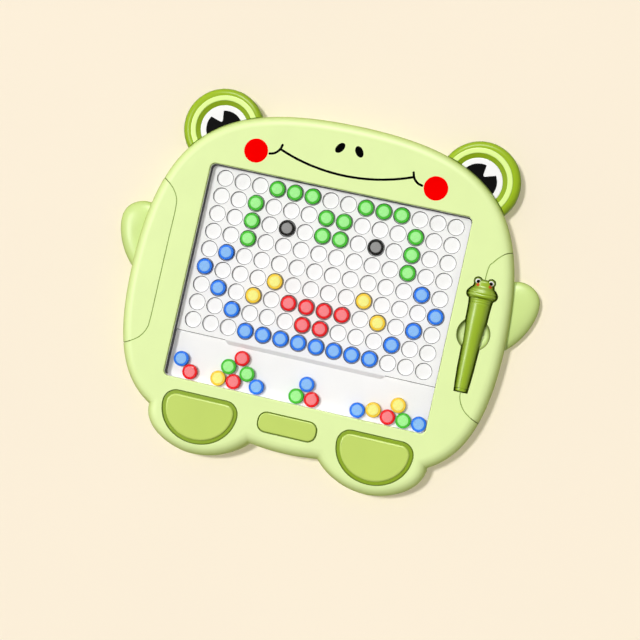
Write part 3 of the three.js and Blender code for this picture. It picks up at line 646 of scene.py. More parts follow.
def pad_outline():
    low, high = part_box("foot_rim_right")
    half_width = (high.x - low.x) / 2 + SEAT_GAP
    center_x = (high.x + low.x) / 2
    side_y = high.y + SEAT_GAP - PAD_CORNER
    drop = side_y - low.y + SEAT_GAP
    right = Vector((center_x + half_width - PAD_CORNER, side_y))
    left = Vector((center_x - half_width + PAD_CORNER, side_y))
    return [
        *arc(Vector((center_x, side_y)), half_width, drop, 180, 360, 40),
        *arc(right, PAD_CORNER, PAD_CORNER, 0, 90)[1:],
        *arc(left, PAD_CORNER, PAD_CORNER, 90, 180)[:-1],
    ]


BELLY_CORNER = 6 * MM


def belly_outline():
    low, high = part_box("belly_plate")
    gap = Vector((SEAT_GAP, SEAT_GAP))
    return rounded_rectangle(low.to_2d() - gap, high.to_2d() + gap, BELLY_CORNER)


# Pen: rows along its axis, as shares of a length and a radius
BARREL_SHARES = ((0, 0.09), (0.2, 0.28), (0.44, 0.42), (0.58, 0.57), (0.75, 0.76), (0.91, 0.84), (1, 1))
HEAD_SHARES = ((0, 0.75), (0.06, 0.86), (0.16, 0.93), (0.25, 0.94), (0.35, 0.91), (0.48, 0.78), (0.62, 0.62),
               (0.84, 0.58), (0.93, 0.44))
PEN_X = middle("pen_barrel").x
PEN_Z = middle("pen_barrel").z
TIP_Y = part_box("pen_tip")[0].y
BARREL_Y, NECK_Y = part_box("pen_barrel")[0].y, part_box("pen_barrel")[1].y
HEAD_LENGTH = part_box("pen_head")[1].y - NECK_Y
HEAD_TOP_Y = NECK_Y + HEAD_SHARES[-1][0] * HEAD_LENGTH
TIP_RADIUS = half_size("pen_tip").z
NECK_RADIUS = half_size("pen_barrel").z
HEAD_FLATNESS = 0.72
CHEEK_RADIUS = half_size("pen_head").z / HEAD_FLATNESS
PEN_EYE_SHIFT = Vector((-0.35, -0.85, 0)) * MM
PEN_EYE_SHRINK = 0.25 * MM
PEN_EYE = middle("pen_eye_right") + PEN_EYE_SHIFT
PEN_EYE_RADIUS = half_size("pen_eye_right").z - PEN_EYE_SHRINK
PEN_GAP = 0.4 * MM
PEN_WALL = 1.8 * MM
SLOT_EDGE = 0.3 * MM


def barrel_rows():
    """Rows of radius and place along the pen, from the tip's joint to the neck."""
    rows = [(TIP_RADIUS + across * (NECK_RADIUS - TIP_RADIUS), BARREL_Y + along * (NECK_Y - BARREL_Y))
            for along, across in BARREL_SHARES]
    return smooth_line(rows)


def head_rows():
    rows = [(across * CHEEK_RADIUS, NECK_Y + along * HEAD_LENGTH) for along, across in HEAD_SHARES]
    return smooth_line(rows, 8)


def pen_eye_place(sign):
    return Vector((PEN_X + sign * (PEN_EYE.x - PEN_X), PEN_EYE.y, PEN_EYE.z))


def pen_outline(grow):
    """The pen's outline seen from the front, without its eyes."""
    head = head_rows()
    side = [(TIP_RADIUS, TIP_Y - grow), *barrel_rows()[2:], *head, (head[-1].x, HEAD_TOP_Y + grow)]
    right = [Vector((PEN_X + radius + grow, y)) for radius, y in side]
    left = [Vector((PEN_X - radius - grow, y)) for radius, y in side]
    return right + left[::-1]


def pen_turned(name, rows, flatness=1.0, closed=False):
    """A solid turned about the pen's axis, from rows of radius and place along it."""
    return turned(name, rows, lambda up, side, y: (PEN_X + side, y, PEN_Z + flatness * up), closed, 72)


# Finger scoop beside the pen, with its floor as shares of its radius and depth
SCOOP_RADIUS = 11.2 * MM
SCOOP_DEPTH = 6 * MM
SCOOP_SHARES = ((0.3, 0), (0.75, 0.12), (0.94, 0.45), (1, 0.8))
# How far down the scoop's wall its painted shade reaches
SCOOP_EDGE_DEPTH = 1.7 * MM
SCOOP_SHARE_ALONG = 0.516
SCOOP_PLACE = Vector((PEN_X, TIP_Y + SCOOP_SHARE_ALONG * (HEAD_TOP_Y - TIP_Y)))

# Screws: one node each, and the posts that they go into
SCREW_NODES = [f"case_screw_{number}" for number in range(1, 7)]
SCREW_PLACES = [middle(node).to_2d() for node in SCREW_NODES]
POST_RADIUS = 4.5 * MM
PILOT_RADIUS = 1.6 * MM
HEAD_ROOM = 3.5 * MM
HEAD_SEAT_Z = 2.4 * MM

# Seam lines that part the side panels from the face, from their head down, in millimetres on the face
SEAM_HEADS = {
    "left": ((131, 46), (123, 41.4), (116.7, 37), (112.3, 31.2), (110.3, 23.4)),
    "right": ((133, 44), (125, 41.4), (119.2, 38.5), (113.3, 32.2), (110.4, 25.3)),
}
SEAM_FOOT = ((110.3, 0), (110.3, -28), (110.3, -56.5), (111.3, -64.3), (114.7, -70.2), (119.6, -74.1),
             (124.5, -76.5), (133, -80))
SEAM_WIDTH = 0.8 * MM
SEAM_DEPTH = 0.32 * MM
SEAM_FOOT_SHARE = 0.3
SEAM_SHOULDER_SHARE = 1.3
SEAM_LEVEL_LEAST = 0.2
SEAM_EDGE_SHARE = 0.12


def seam_blade(sign, side_name):
    """A thin blade whose lower edge follows the case's face and round edge at an even depth."""
    line = smooth_line([face(sign * x, y) for x, y in (*SEAM_HEADS[side_name], *SEAM_FOOT)], 8)
    top = FRONT_Z + OVERRUN
    rings, falls = [], []
    for index, point in enumerate(line):
        heading = (line[min(index + 1, len(line) - 1)] - line[max(index - 1, 0)]).normalized()
        side = Vector((-heading.y, heading.x)) * SEAM_WIDTH / 2
        foot = side * SEAM_FOOT_SHARE
        inside = depth_inside(point, BODY_OUTLINE)
        fall = min(max(0, FRONT_EDGE - inside), FRONT_EDGE)
        falls.append(fall)
        level = math.sqrt(1 - (fall / FRONT_EDGE) ** 2)
        depth = SEAM_DEPTH / max(level, SEAM_LEVEL_LEAST)
        low = PARTING_Z + OVERRUN if inside < SEAM_DEPTH else FRONT_Z - FRONT_EDGE * (1 - level) - depth
        shoulder = low + SEAM_SHOULDER_SHARE * depth
        rings.append([(*(point + foot), low), (*(point + side), shoulder), (*(point + side), top),
                      (*(point - side), top), (*(point - side), shoulder), (*(point - foot), low)])
    # The groove's faces take painted shade, the darker one where the groove runs over the round edge.
    blade = tinted(skin(f"seam_{side_name}", rings), SEAM_SHADE, EDGE_SEAM_SHADE)
    for polygon in blade.data.polygons:
        ring = min(polygon.index // len(rings[0]), len(rings) - 1)
        polygon.material_index = int(falls[ring] > SEAM_EDGE_SHARE * FRONT_EDGE)
    return blade


def scoop_dish(name, grow, top, edge=0):
    """A round dish across the pen's slot, with a bowl-shaped floor."""
    low = FRONT_Z - SCOOP_DEPTH - grow
    radius = SCOOP_RADIUS + grow
    bowl = [(radius * across, low + SCOOP_DEPTH * rise) for across, rise in SCOOP_SHARES]
    rows = [tuple(row) for row in smooth_line(bowl)]
    if edge:
        rows += [(radius + across, height + NUDGE) for across, height in quarter_round(edge, FRONT_Z, 0, 6)]
    rows.append((radius + edge, top))
    return lathe(name, rows, SCOOP_PLACE)


def cut_pen_slot(shell):
    # The slot's walls, the eyes' rooms and the barrel's and head's rooms take painted shade.
    cut(shell, tinted(flared("slot", pen_outline(PEN_GAP), PEN_Z, FRONT_Z, SLOT_EDGE), SLOT_SHADE))
    for sign, _ in SIDES:
        room = circle(pen_eye_place(sign).to_2d(), PEN_EYE_RADIUS + PEN_GAP, SMALL_STEPS)
        cut(shell, tinted(flared("eye_room", room, PEN_Z, FRONT_Z, SLOT_EDGE), SLOT_SHADE))
    barrel = [(TIP_RADIUS, TIP_Y - PEN_GAP), *barrel_rows()[2:]]
    head = [*head_rows(), (head_rows()[-1].x, HEAD_TOP_Y + PEN_GAP)]
    for name, rows, flatness in (("barrel_room", barrel, 1.0), ("head_room", head, HEAD_FLATNESS)):
        cut(shell, tinted(pen_turned(name, [(radius + PEN_GAP, y) for radius, y in rows], flatness), SLOT_SHADE))
    # The upper part of the scoop's wall takes painted shade; its floor keeps the body's colour.
    scoop = tinted(scoop_dish("scoop", 0, FRONT_Z + OVERRUN, SMALL_EDGE), BODY, SCOOP_EDGE_SHADE)
    for polygon in scoop.data.polygons:
        polygon.material_index = int(polygon.center.z > FRONT_Z - SCOOP_EDGE_DEPTH)
    cut(shell, scoop)


def make_front_shell():
    shell = tinted(loft("front_shell_look", BODY_OUTLINE, [
        (PARTING_CHAMFER, PARTING_Z), (0, PARTING_Z + PARTING_CHAMFER),
        *quarter_round(FRONT_EDGE, FRONT_Z, steps=14),
    ]), BODY)
    cut(shell, loft("cavity", BODY_OUTLINE, [
        (WALL, PARTING_Z - OVERRUN), *quarter_round(FRONT_EDGE - WALL, SKIN_UNDER, WALL, 6),
    ]))
    join_z = SKIN_UNDER + SKIN / 2
    tray_seat = window_outline(TRAY_RIM + SEAT_GAP)
    join(
        shell,
        prism("collar", inset(tray_seat, -WALL), PARTING_Z, join_z),
        prism("pen_block", pen_outline(PEN_GAP + PEN_WALL), PEN_Z - NECK_RADIUS - PEN_WALL, join_z),
        scoop_dish("scoop_bowl", PEN_WALL, join_z),
        *(rod("post", POST_RADIUS, PARTING_Z, join_z, place) for place in SCREW_PLACES),
    )
    cut(shell, prism("tray_seat", tray_seat, PARTING_Z - OVERRUN, SKIN_UNDER))
    cut(shell, flared("window", window_outline(), PARTING_Z, FRONT_Z, WINDOW_EDGE))
    cut_pen_slot(shell)
    for place in SCREW_PLACES:
        cut(shell, rod("pilot", PILOT_RADIUS, PARTING_Z - OVERRUN, join_z - SKIN, place, 24))
    pocket_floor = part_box("foot_pad_right")[0].z
    # The pockets' round mouths and walls take painted shade.
    foot_pocket = tinted(flared("foot_pocket", pad_outline(), pocket_floor, FRONT_Z, SMALL_EDGE), POCKET_SHADE)
    cut(shell, mirrored(foot_pocket, "foot_pocket_left"), foot_pocket)
    cut(shell, tinted(flared("belly_pocket", belly_outline(), pocket_floor, FRONT_Z, SMALL_EDGE), POCKET_SHADE))
    cut(shell, *(seam_blade(*side) for side in SIDES))
    dress(shell, "body_green", "front_shell")


# Rear cover
RIB_THICKNESS = 1.8 * MM
RIB_ROW_SHARES = (-0.7, 0, 0.7)
RIB_LENGTH_SHARE = 0.9


def make_rear_cover():
    cover = tinted(loft("rear_cover_look", BODY_OUTLINE, [
        *round_foot(REAR_EDGE, REAR_Z), (0, PARTING_Z - PARTING_CHAMFER), (PARTING_CHAMFER, PARTING_Z),
    ]), REAR)
    cut(cover, loft("cavity", BODY_OUTLINE, [
        (REAR_EDGE, SKIN), (WALL, SKIN + REAR_EDGE / 2), (WALL, PARTING_Z + OVERRUN),
    ]))
    window_middle = (TRAY_LOW.y + TRAY_HIGH.y) / 2
    rib_half = RIB_LENGTH_SHARE * (TRAY_HIGH.x - TRAY_RIM)
    for share in RIB_ROW_SHARES:
        y = window_middle + share * ((TRAY_HIGH.y - TRAY_LOW.y) / 2 - TRAY_RIM)
        join(cover, box("rib", Vector((-rib_half, y - RIB_THICKNESS / 2, SKIN / 2)),
                        Vector((rib_half, y + RIB_THICKNESS / 2, TRAY_LOW.z))))
    for place in SCREW_PLACES:
        join(cover, rod("post", POST_RADIUS, SKIN / 2, PARTING_Z, place))
    seat = [(HEAD_ROOM + SMALL_EDGE, REAR_Z - OVERRUN), (HEAD_ROOM + SMALL_EDGE, REAR_Z),
            (HEAD_ROOM, REAR_Z + SMALL_EDGE), (HEAD_ROOM, HEAD_SEAT_Z)]
    for place in SCREW_PLACES:
        cut(cover, rod("hole", PILOT_RADIUS, -OVERRUN, PARTING_Z + OVERRUN, place),
            lathe("seat", seat, place, steps=SMALL_STEPS))
    notch_low, notch_high = FLANGE_LOW - SEAT_GAP, PARTING_Z + OVERRUN
    eye_notch = rod("eye_notch", EYE_RADIUS + SEAT_GAP, notch_low, notch_high, EYE_PLACE, LATHE_STEPS)
    hand_notch = cut(hand_egg("hand_notch", SEAT_GAP), casing_guard(REAR_Z - OVERRUN, notch_low))
    cut(cover, mirrored(eye_notch, "eye_notch_left"), mirrored(hand_notch, "hand_notch_left"), eye_notch,
        hand_notch)
    dress(cover, "rear_green", "rear_cover")


# Screws: the head's face as shares of its radius, its rounded edge, the shank with its point, and the cross
HEAD_FACE_SHARES = (0.55, 0.9)
HEAD_DOME = 0.25 * MM
HEAD_DOME_EDGE = 0.5 * MM
HEAD_SIDE_Z = 1.2 * MM
HEAD_SIDE_EDGE = 0.3 * MM
SHANK_RADIUS = 1.3 * MM
SHANK_FILLET = 0.1 * MM
POINT_LENGTH = 2 * MM
POINT_RADIUS = 0.3 * MM
CROSS_REACH = 1.9 * MM
CROSS_HALF_WIDTH = 0.45 * MM
CROSS_DEPTH = 1.3 * MM


def make_screws():
    low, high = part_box(SCREW_NODES[0])
    head_radius = (high.y - low.y) / 2
    flat, dome = (share * head_radius for share in HEAD_FACE_SHARES)
    rows = filleted([
        (flat, low.z, 0), (dome, low.z + HEAD_DOME, HEAD_DOME_EDGE),
        (head_radius, low.z + HEAD_SIDE_Z, HEAD_SIDE_EDGE), (head_radius, HEAD_SEAT_Z, 0),
        (SHANK_RADIUS, HEAD_SEAT_Z + SHANK_FILLET, SHANK_FILLET), (SHANK_RADIUS, high.z - POINT_LENGTH, 0),
        (POINT_RADIUS, high.z, 0),
    ])
    for node, place in zip(SCREW_NODES, SCREW_PLACES):
        screw = tinted(lathe(f"{node}_look", rows, place, steps=SMALL_STEPS), STEEL)
        for reach in (Vector((CROSS_REACH, CROSS_HALF_WIDTH)), Vector((CROSS_HALF_WIDTH, CROSS_REACH))):
            cut(screw, box("cross", Vector((*(place - reach), low.z - OVERRUN)),
                           Vector((*(place + reach), low.z + CROSS_DEPTH))))
        dress(screw, "screw_steel", node)


# Window field: screen, tray, plate
STEP_EDGE = 0.45 * MM
PLATE_CHAMFER = 0.2 * MM
RAMP_TOP_INSET = 35.6 * MM
RAMP_LENGTH = 2.6 * MM
RAMP_TOE = 0.4 * MM
WELL_RADIUS = 5.9 * MM
WELL_MOUTH = 0.4 * MM
WELL_FOOT_RADIUS = 5.45 * MM
FILLED_GROW = 0.24 * MM
LINER_THICKNESS = 0.14 * MM


def well_center(column, row):
    return Vector(((column - (COLUMNS - 1) / 2) * PITCH, FACE_Y + ((ROWS - 1) / 2 - row) * PITCH))


def make_wells(name, places, material, grow=0.0):
    """Cutters for some of the wells as one mesh."""
    radius = WELL_RADIUS + grow
    rows = [(WELL_FOOT_RADIUS, FLOOR_Z - OVERRUN), (WELL_FOOT_RADIUS, FLOOR_Z),
            (radius - WELL_MOUTH, PLATE_Z - WELL_MOUTH), (radius, PLATE_Z + NUDGE),
            (radius, PLATE_Z + OVERRUN)]
    points, faces = [], []
    for place in places:
        cutter = lathe("well", rows, well_center(*place), steps=SMALL_STEPS)
        start = len(points)
        points += [vertex.co.copy() for vertex in cutter.data.vertices]
        faces += [tuple(start + index for index in polygon.vertices) for polygon in cutter.data.polygons]
        bpy.data.objects.remove(cutter)
    # The walls take the grey painted shade and the mouths the darker one given.
    wells = tinted(solid(name, points, faces), WELL_WALL_SHADE, material)
    for polygon in wells.data.polygons:
        polygon.material_index = int(polygon.center.z > PLATE_Z - WELL_MOUTH)
    return wells


def make_plate():
    corner = Vector((WINDOW_CORNER, WINDOW_CORNER))
    low, high = PLATE_LOW.to_2d(), PLATE_HIGH.to_2d()
    ramp_foot_y = low.y
    low.y += RAMP_LENGTH
    outline = [low, Vector((high.x, low.y)), *arc(high - corner, *corner, 0, 90),
               *arc(Vector((low.x + WINDOW_CORNER, high.y - WINDOW_CORNER)), *corner, 90, 180)]
    profile = [(0, FLOOR_Z), (0, PLATE_Z - PLATE_CHAMFER), (PLATE_CHAMFER, PLATE_Z)]
    plate = tinted(loft("bead_plate_look", outline, profile), PLATE)
    filled = [place for places in SEATED.values() for place in places]
    every = [(column, row) for row in range(ROWS) for column in range(COLUMNS)]
    empty = [place for place in every if place not in filled]
    # Empty wells get a thin dark line of painted shade round their mouths, filled ones a wider dark ring of
    # painted shade round the bead.
    cut(plate, make_wells("empty_wells", empty, WELL_LINE_SHADE),
        make_wells("filled_wells", filled, WELL_SHADE, FILLED_GROW))
    reach = high.x + OVERRUN
    front_y = low.y - OVERRUN
    # A dark chamfer along the plate's lower step, a painted shadow under the step.
    step_edge = ((front_y, PLATE_Z - STEP_EDGE), (low.y + STEP_EDGE, PLATE_Z + NUDGE),
                 (front_y, PLATE_Z + OVERRUN))
    rings = [[(x, y, z) for y, z in step_edge] for x in (-reach, reach)]
    cut(plate, tinted(skin("step_edge", rings), WELL_LINE_SHADE))
    ramp_top = TRAY_HIGH.x - TRAY_RIM - RAMP_TOP_INSET
    ramp_foot = ramp_top - RAMP_LENGTH
    back_y = low.y + OVERRUN
    top_z = PLATE_Z - NUDGE
    ramp = ((ramp_top, back_y, FLOOR_Z), (ramp_foot, ramp_foot_y, FLOOR_Z),
            (ramp_foot, ramp_foot_y, FLOOR_Z + RAMP_TOE), (ramp_top, low.y, top_z), (ramp_top, back_y, top_z))
    rings = [[(sign * x, y, z) for x, y, z in ramp] for sign in (1, -1)]
    # The ramp takes a light grey, painted shade on its slope.
    join(plate, tinted(skin("ramp", rings), RAMP))
    dress(plate, "plate_white", "bead_plate", angle=25)


def make_tray():
    tray = tinted(prism("bead_tray_look", window_outline(TRAY_RIM), TRAY_LOW.z, TRAY_HIGH.z), PLATE)
    room = [*round_foot(SEAT_GAP, FLOOR_Z, 4), (0, TRAY_HIGH.z + OVERRUN)]
    cut(tray, loft("room", window_outline(), room))
    dress(tray, "plate_white", "bead_tray")
    # A thin dark grey strip along the window's walls, all but the lower one: a sheet of painted shade where
    # the walls lie in shadow.
    line = window_outline(-LINER_THICKNESS)[ARC_STEPS // 2:-(ARC_STEPS // 2)]
    liner = prism("window_shade_liner", stroke(line, LINER_THICKNESS), FLOOR_Z, TRAY_HIGH.z)
    dress(tinted(liner, SHADE_LINER), "black")


def make_screen():
    sheet = prism("clear_screen_look", window_outline(TRAY_RIM), SCREEN_LOW.z, SCREEN_HIGH.z)
    dress(tinted(sheet, SCREEN), "clear_screen", "clear_screen")


# Beads
BEAD_EDGE = 0.9 * MM
BEAD_FOOT_EDGE = 0.2 * MM
DISC_STAND = 0.3 * MM
DISC_SLOPE = 0.5 * MM
DISC_EDGE = 0.45 * MM


def bead_mesh(color):
    """A bead about its own axis, its foot at height 0, with a raised disc on its top."""
    shoulder = BEAD_HEIGHT - DISC_STAND
    rows = filleted([
        (BEAD_RADIUS - SMALL_EDGE, 0, 0),
        (BEAD_RADIUS, SMALL_EDGE, BEAD_FOOT_EDGE),
        (BEAD_RADIUS, shoulder, BEAD_EDGE),
        (DISC_RADIUS + DISC_SLOPE, shoulder, DISC_STAND),
        (DISC_RADIUS, BEAD_HEIGHT, DISC_EDGE),
        (DISC_RADIUS * CENTER_SHARE, BEAD_HEIGHT, 0),
    ], steps=6)
    piece = tinted(lathe(f"bead_{color}_shape", rows, Vector((0, 0)), steps=SMALL_STEPS), BEADS[color])
    mesh = piece.data
    smooth(mesh, 40)
    bpy.data.objects.remove(piece)
    return mesh


def make_beads():
    meshes = {color: bead_mesh(color) for color in BEADS}
    beads = []
    for label, places in SEATED.items():
        color = label.split("_")[0]
        node = f"{'beads' if len(places) > 1 else 'bead'}_{label}"
        for column, row in places:
            name = f"seated_bead_{color}_column_{column + 1}_row_{row + 1}"
            beads.append((name, color, node, well_center(column, row)))
    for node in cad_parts:
        if node.startswith("loose_bead_"):
            beads.append((f"{node}_look", node.split("_")[-1], node, middle(node)))
    for name, color, node, place in beads:
        bead = add(name, meshes[color])
        bead.location = (place.x, place.y, FLOOR_Z)
        assign(bead, f"{node}_body", [node])


# Eyes
EYE_PLACE = middle("eye_housing_right").to_2d()
EYE_RADIUS = half_size("eye_housing_right").x
EYE_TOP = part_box("eye_housing_right")[1].z
EYE_EDGE = 4.6 * MM
RING_PLACE = EYE_PLACE + Vector((-0.9 * MM, -0.4 * MM))
INLAY_GAP = 0.05 * MM
RING_OUTER = 23.7 * MM
RING_INNER = 20.0 * MM
RING_EDGE = 0.6 * MM
RING_GROOVE_Z, RING_TOP_Z = (corner.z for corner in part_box("eye_ring_right"))
BALL_RADIUS = 16.9 * MM
BALL_EDGE = 0.5 * MM
BALL_LOW_Z, BALL_TOP_Z = (corner.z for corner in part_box("eyeball_right"))
PUPIL_RADIUS = 12.9 * MM
PUPIL_EDGE = 0.3 * MM
PUPIL_TOP_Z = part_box("pupil_right")[1].z
NOTCH_SHARES = ((0.85, 0.52, 0), (0.17, 0.31, 0.12), (0.25, 0.97, 0))


def pupil_outline():
    """A disc with a bright notch at its upper outer side."""
    notch = [Vector(share) for share in filleted(NOTCH_SHARES, steps=8)]
    end, start = (math.degrees(math.atan2(share.y, share.x)) for share in (notch[0], notch[-1]))
    disc = arc(RING_PLACE, PUPIL_RADIUS, PUPIL_RADIUS, start, end + 360, 64)
    return disc + [RING_PLACE + share * PUPIL_RADIUS for share in notch[1:-1]]


def make_eyes():
    edge = [(EYE_RADIUS - across, height) for across, height in quarter_round(EYE_EDGE, EYE_TOP)]
    housing = tinted(lathe("eye_housing", [
        (EYE_RADIUS - SMALL_EDGE, FLANGE_LOW), (EYE_RADIUS, FLANGE_LOW + SMALL_EDGE), *edge,
    ], EYE_PLACE, steps=FINE_STEPS), OLIVE)
    inner, outer, mouth = RING_INNER - INLAY_GAP, RING_OUTER + INLAY_GAP, RING_OUTER + 4 * INLAY_GAP
    groove = lathe("groove", [
        (inner, RING_GROOVE_Z), (outer, RING_GROOVE_Z), (outer, EYE_TOP - INLAY_GAP),
        (mouth, EYE_TOP + NUDGE), (mouth, EYE_TOP + OVERRUN), (inner, EYE_TOP + OVERRUN),
    ], RING_PLACE, closed=True, steps=FINE_STEPS)
    # The funnel down to the eyeball takes a darker olive, painted shade in the recess.
    funnel = lathe("funnel", [
        (BALL_RADIUS + INLAY_GAP, BALL_LOW_Z), (BALL_RADIUS + INLAY_GAP, BALL_TOP_Z),
        (RING_INNER - 2 * INLAY_GAP, EYE_TOP - INLAY_GAP), (RING_INNER, EYE_TOP + OVERRUN),
    ], RING_PLACE, steps=FINE_STEPS)
    cut(housing, groove, tinted(funnel, FUNNEL_SHADE))
    ring = tinted(lathe("eye_ring", filleted([
        (RING_INNER, RING_GROOVE_Z, 0), (RING_OUTER, RING_GROOVE_Z, 0),
        (RING_OUTER, RING_TOP_Z, RING_EDGE), (RING_INNER, RING_TOP_Z, RING_EDGE),
    ], closed=True), RING_PLACE, closed=True, steps=FINE_STEPS), LIME)
    ball = tinted(lathe("eyeball", filleted([
        (BALL_RADIUS, BALL_LOW_Z, 0), (BALL_RADIUS, BALL_TOP_Z, BALL_EDGE),
        (BALL_RADIUS * CENTER_SHARE, BALL_TOP_Z, 0),
    ]), RING_PLACE, steps=FINE_STEPS), WHITE)
    pupil_profile = [(0, BALL_TOP_Z), *quarter_round(PUPIL_EDGE, PUPIL_TOP_Z, steps=4)]
    pupil = tinted(loft("pupil", pupil_outline(), pupil_profile), BLACK)
    for piece, slot in ((housing, "olive"), (ring, "lime"), (ball, "eye_white"), (pupil, "black")):
        node = piece.name
        cut(piece, casing_guard(FLANGE_HIGH, FRONT_Z + OVERRUN))
        both_sides(piece, node, slot)


# Hands
HAND_LOW, HAND_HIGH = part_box("hand_right")
HAND_BOTTOM = 28 * MM
HAND_SHIFT = Vector((0, 1.2 * MM))
HAND_FULLNESS = 0.7
HAND_CURVE_SHARES = (
    ((0.55, 1), (1, 0.72), (1, 0.35)),
    ((1, -0.15), (0.55, -0.62), (0, -0.9)),
    ((-0.45, -1.13), (-1, -0.75), (-1, -0.1)),
    ((-1, 0.6), (-0.55, 1), (0, 1)),
)


def hand_point(share):
    half_width = (HAND_HIGH.x - HAND_LOW.x) / 2
    rise = HAND_HIGH.y - FACE_Y if share[1] > 0 else HAND_BOTTOM
    return Vector((HAND_LOW.x + half_width * (1 + share[0]), FACE_Y + share[1] * rise))


def hand_egg(name, grow=0.0):
    """A hand's egg, grown all round where it makes room for the hand."""
    center_z = (HAND_HIGH.z + HAND_LOW.z) / 2
    half = (HAND_HIGH.z - HAND_LOW.z) / 2 + grow
    outline = inset(curve_chain((0, 1), HAND_CURVE_SHARES, hand_point)[:0:-1], -grow)
    core = sum(outline, Vector((0, 0))) / len(outline)
    rings = []
    steps = 28
    for step in range(1, steps):
        angle = math.pi * (step / steps - 0.5)
        width = math.cos(angle) ** HAND_FULLNESS
        rings.append([(*(core + HAND_SHIFT + (point - core) * width), center_z + half * math.sin(angle))
                      for point in outline])
    return skin(name, rings)


def make_hands():
    hand = tinted(hand_egg("hand"), HAND)
    cut(hand, casing_guard(FLANGE_HIGH, FRONT_Z), casing_guard(REAR_Z - OVERRUN, FLANGE_LOW))
    both_sides(hand, "hand", "hand_green")


# Feet and belly
PAD_EDGE = 1.4 * MM
PAD_GAP = 0.05 * MM
PAD_RIM_EDGE = 0.3 * MM
BELLY_GAP = 0.5 * MM
BELLY_EDGE = 0.8 * MM


def make_feet():
    floor_z, rim_z = (corner.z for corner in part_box("foot_rim_right"))
    pad_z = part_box("foot_pad_right")[1].z
    rim = tinted(loft("foot_rim", pad_outline(), filleted([
        (PAD_RIM_WIDTH, floor_z, 0), (SEAT_GAP, floor_z, 0), (SEAT_GAP, rim_z, PAD_RIM_EDGE),
        (PAD_RIM_WIDTH, rim_z, 0),
    ], closed=True), closed=True), RIM)
    pad = tinted(loft("foot_pad", inset(pad_outline(), PAD_RIM_WIDTH + PAD_GAP),
                      [(0, floor_z), *quarter_round(PAD_EDGE, pad_z)]), PAD)
    both_sides(rim, "foot_rim", "rim_olive")
    both_sides(pad, "foot_pad", "pad_green")


def make_belly_plate():
    low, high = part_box("belly_plate")
    plate = tinted(loft("belly_plate_look", inset(belly_outline(), BELLY_GAP),
                        [(0, low.z), *quarter_round(BELLY_EDGE, high.z)]), PAD)
    dress(plate, "pad_green", "belly_plate")


# Prints on the face, a little proud of it. Places, the mouth's arc and its curls are in millimetres.
PRINT_THICKNESS = 0.06 * MM
MOUTH_WIDTH = 1.65 * MM
MOUTH_RADIUS = 129
MOUTH_LOW = 68.6
MOUTH_HALF = 47
MOUTH_STEPS = 40
CURL = ((46.5, 80.7), (47.3, 78.0), (48.7, 75.8), (51.2, 73.8), (54.1, 73.0))
NOSTRIL_PLACE = (6.8, 86.9)
NOSTRIL_HALF = (2.65 * MM, 4.2 * MM)
NOSTRIL_LEAN = math.radians(35)
CHEEK_PLACE = (63.8, 73.1)
CHEEK_PRINT_RADIUS = 8.4 * MM


def printed(name, outline, material):
    edge = PRINT_THICKNESS / 3
    high = FRONT_Z + PRINT_THICKNESS
    return tinted(loft(name, outline, [(0, FRONT_Z - edge), (0, high - edge), (edge, high)]), material)


def make_prints():
    arc_line = []
    for step in range(MOUTH_STEPS + 1):
        x = MOUTH_HALF * (2 * step / MOUTH_STEPS - 1)
        arc_line.append(face(x, MOUTH_LOW + MOUTH_RADIUS - math.sqrt(MOUTH_RADIUS ** 2 - x ** 2)))
    mouth = printed("print_mouth", stroke(arc_line, MOUTH_WIDTH), PRINT_BLACK)
    for sign, _ in SIDES:
        line = smooth_line([face(sign * x, y) for x, y in CURL])
        join(mouth, printed("curl", stroke(line, MOUTH_WIDTH), PRINT_BLACK))
    dress(mouth, "black")
    for sign, side in SIDES:
        lean = Matrix.Rotation(sign * NOSTRIL_LEAN, 2)
        center = face(sign * NOSTRIL_PLACE[0], NOSTRIL_PLACE[1])
        oval = arc(Vector((0, 0)), *NOSTRIL_HALF, 0, 360, SMALL_STEPS)[:-1]
        oval = [center + lean @ point for point in oval]
        dress(printed(f"print_nostril_{side}", oval, PRINT_BLACK), "black")
        cheek = circle(face(sign * CHEEK_PLACE[0], CHEEK_PLACE[1]), CHEEK_PRINT_RADIUS, 96)
        dress(printed(f"print_cheek_{side}", cheek, CHEEK), "bead_red")


# Pen: soft grooves of the head, as places on the face and depths, which sag in front like a mouth
HEAD_GROOVES = ((11.2 * MM, 0.25 * MM), (9.2 * MM, 0.5 * MM), (6.6 * MM, 0.4 * MM))
HEAD_GROOVE_WIDTH = 0.5 * MM
MOUTH_SAG = 0.8 * MM
# Crown of the head, as shares of its last ring and how far each rises
CROWN = ((0.75, 0.25 * MM), (0.4, 0.38 * MM), (0.1, 0.42 * MM))
PLUG_SHARE = 0.9
# Ribs of the barrel, as places below the neck and depths
BARREL_GROOVES = ((NECK_Y - 1.4 * MM, 0.25 * MM), (NECK_Y - 3.0 * MM, 0.25 * MM))
BARREL_GROOVE_WIDTH = 0.35 * MM
# Eyes of the head, their lids and pupils, and cheek spots with rows of a share and a rise in millimetres
EYEBALL_RADIUS = 0.8 * PEN_EYE_RADIUS
SOCKET_GAP = 0.04 * MM
LID_OPENING = 5 * MM
LID_LIFT = 0.2 * MM
LID_LEAN = math.radians(38)
PUPIL_SIDE = (-0.1, -0.22, 1)
PUPIL_SPREAD = math.radians(37)
PUPIL_STEPS = 9
PATCH_HALF = 0.05 * MM
SPOT_PLACE = (4.25 * MM, 14.8 * MM)
SPOT_RADIUS = 1.15 * MM
SPOT_ROWS = ((1, -0.25), (1, 0), (0.93, 0.06), (0.7, 0.07), (0.4, 0.07), (0.1, 0.07))
# Tip and magnet
TIP_EDGE = 0.8 * MM
TIP_JOINT_EDGE = 0.15 * MM
TIP_FACE_SHARE = 0.3
TIP_NECK_SHARE = 0.7
MAGNET_EDGE = 0.3 * MM
MAGNET_FACE_SHARE = 0.5


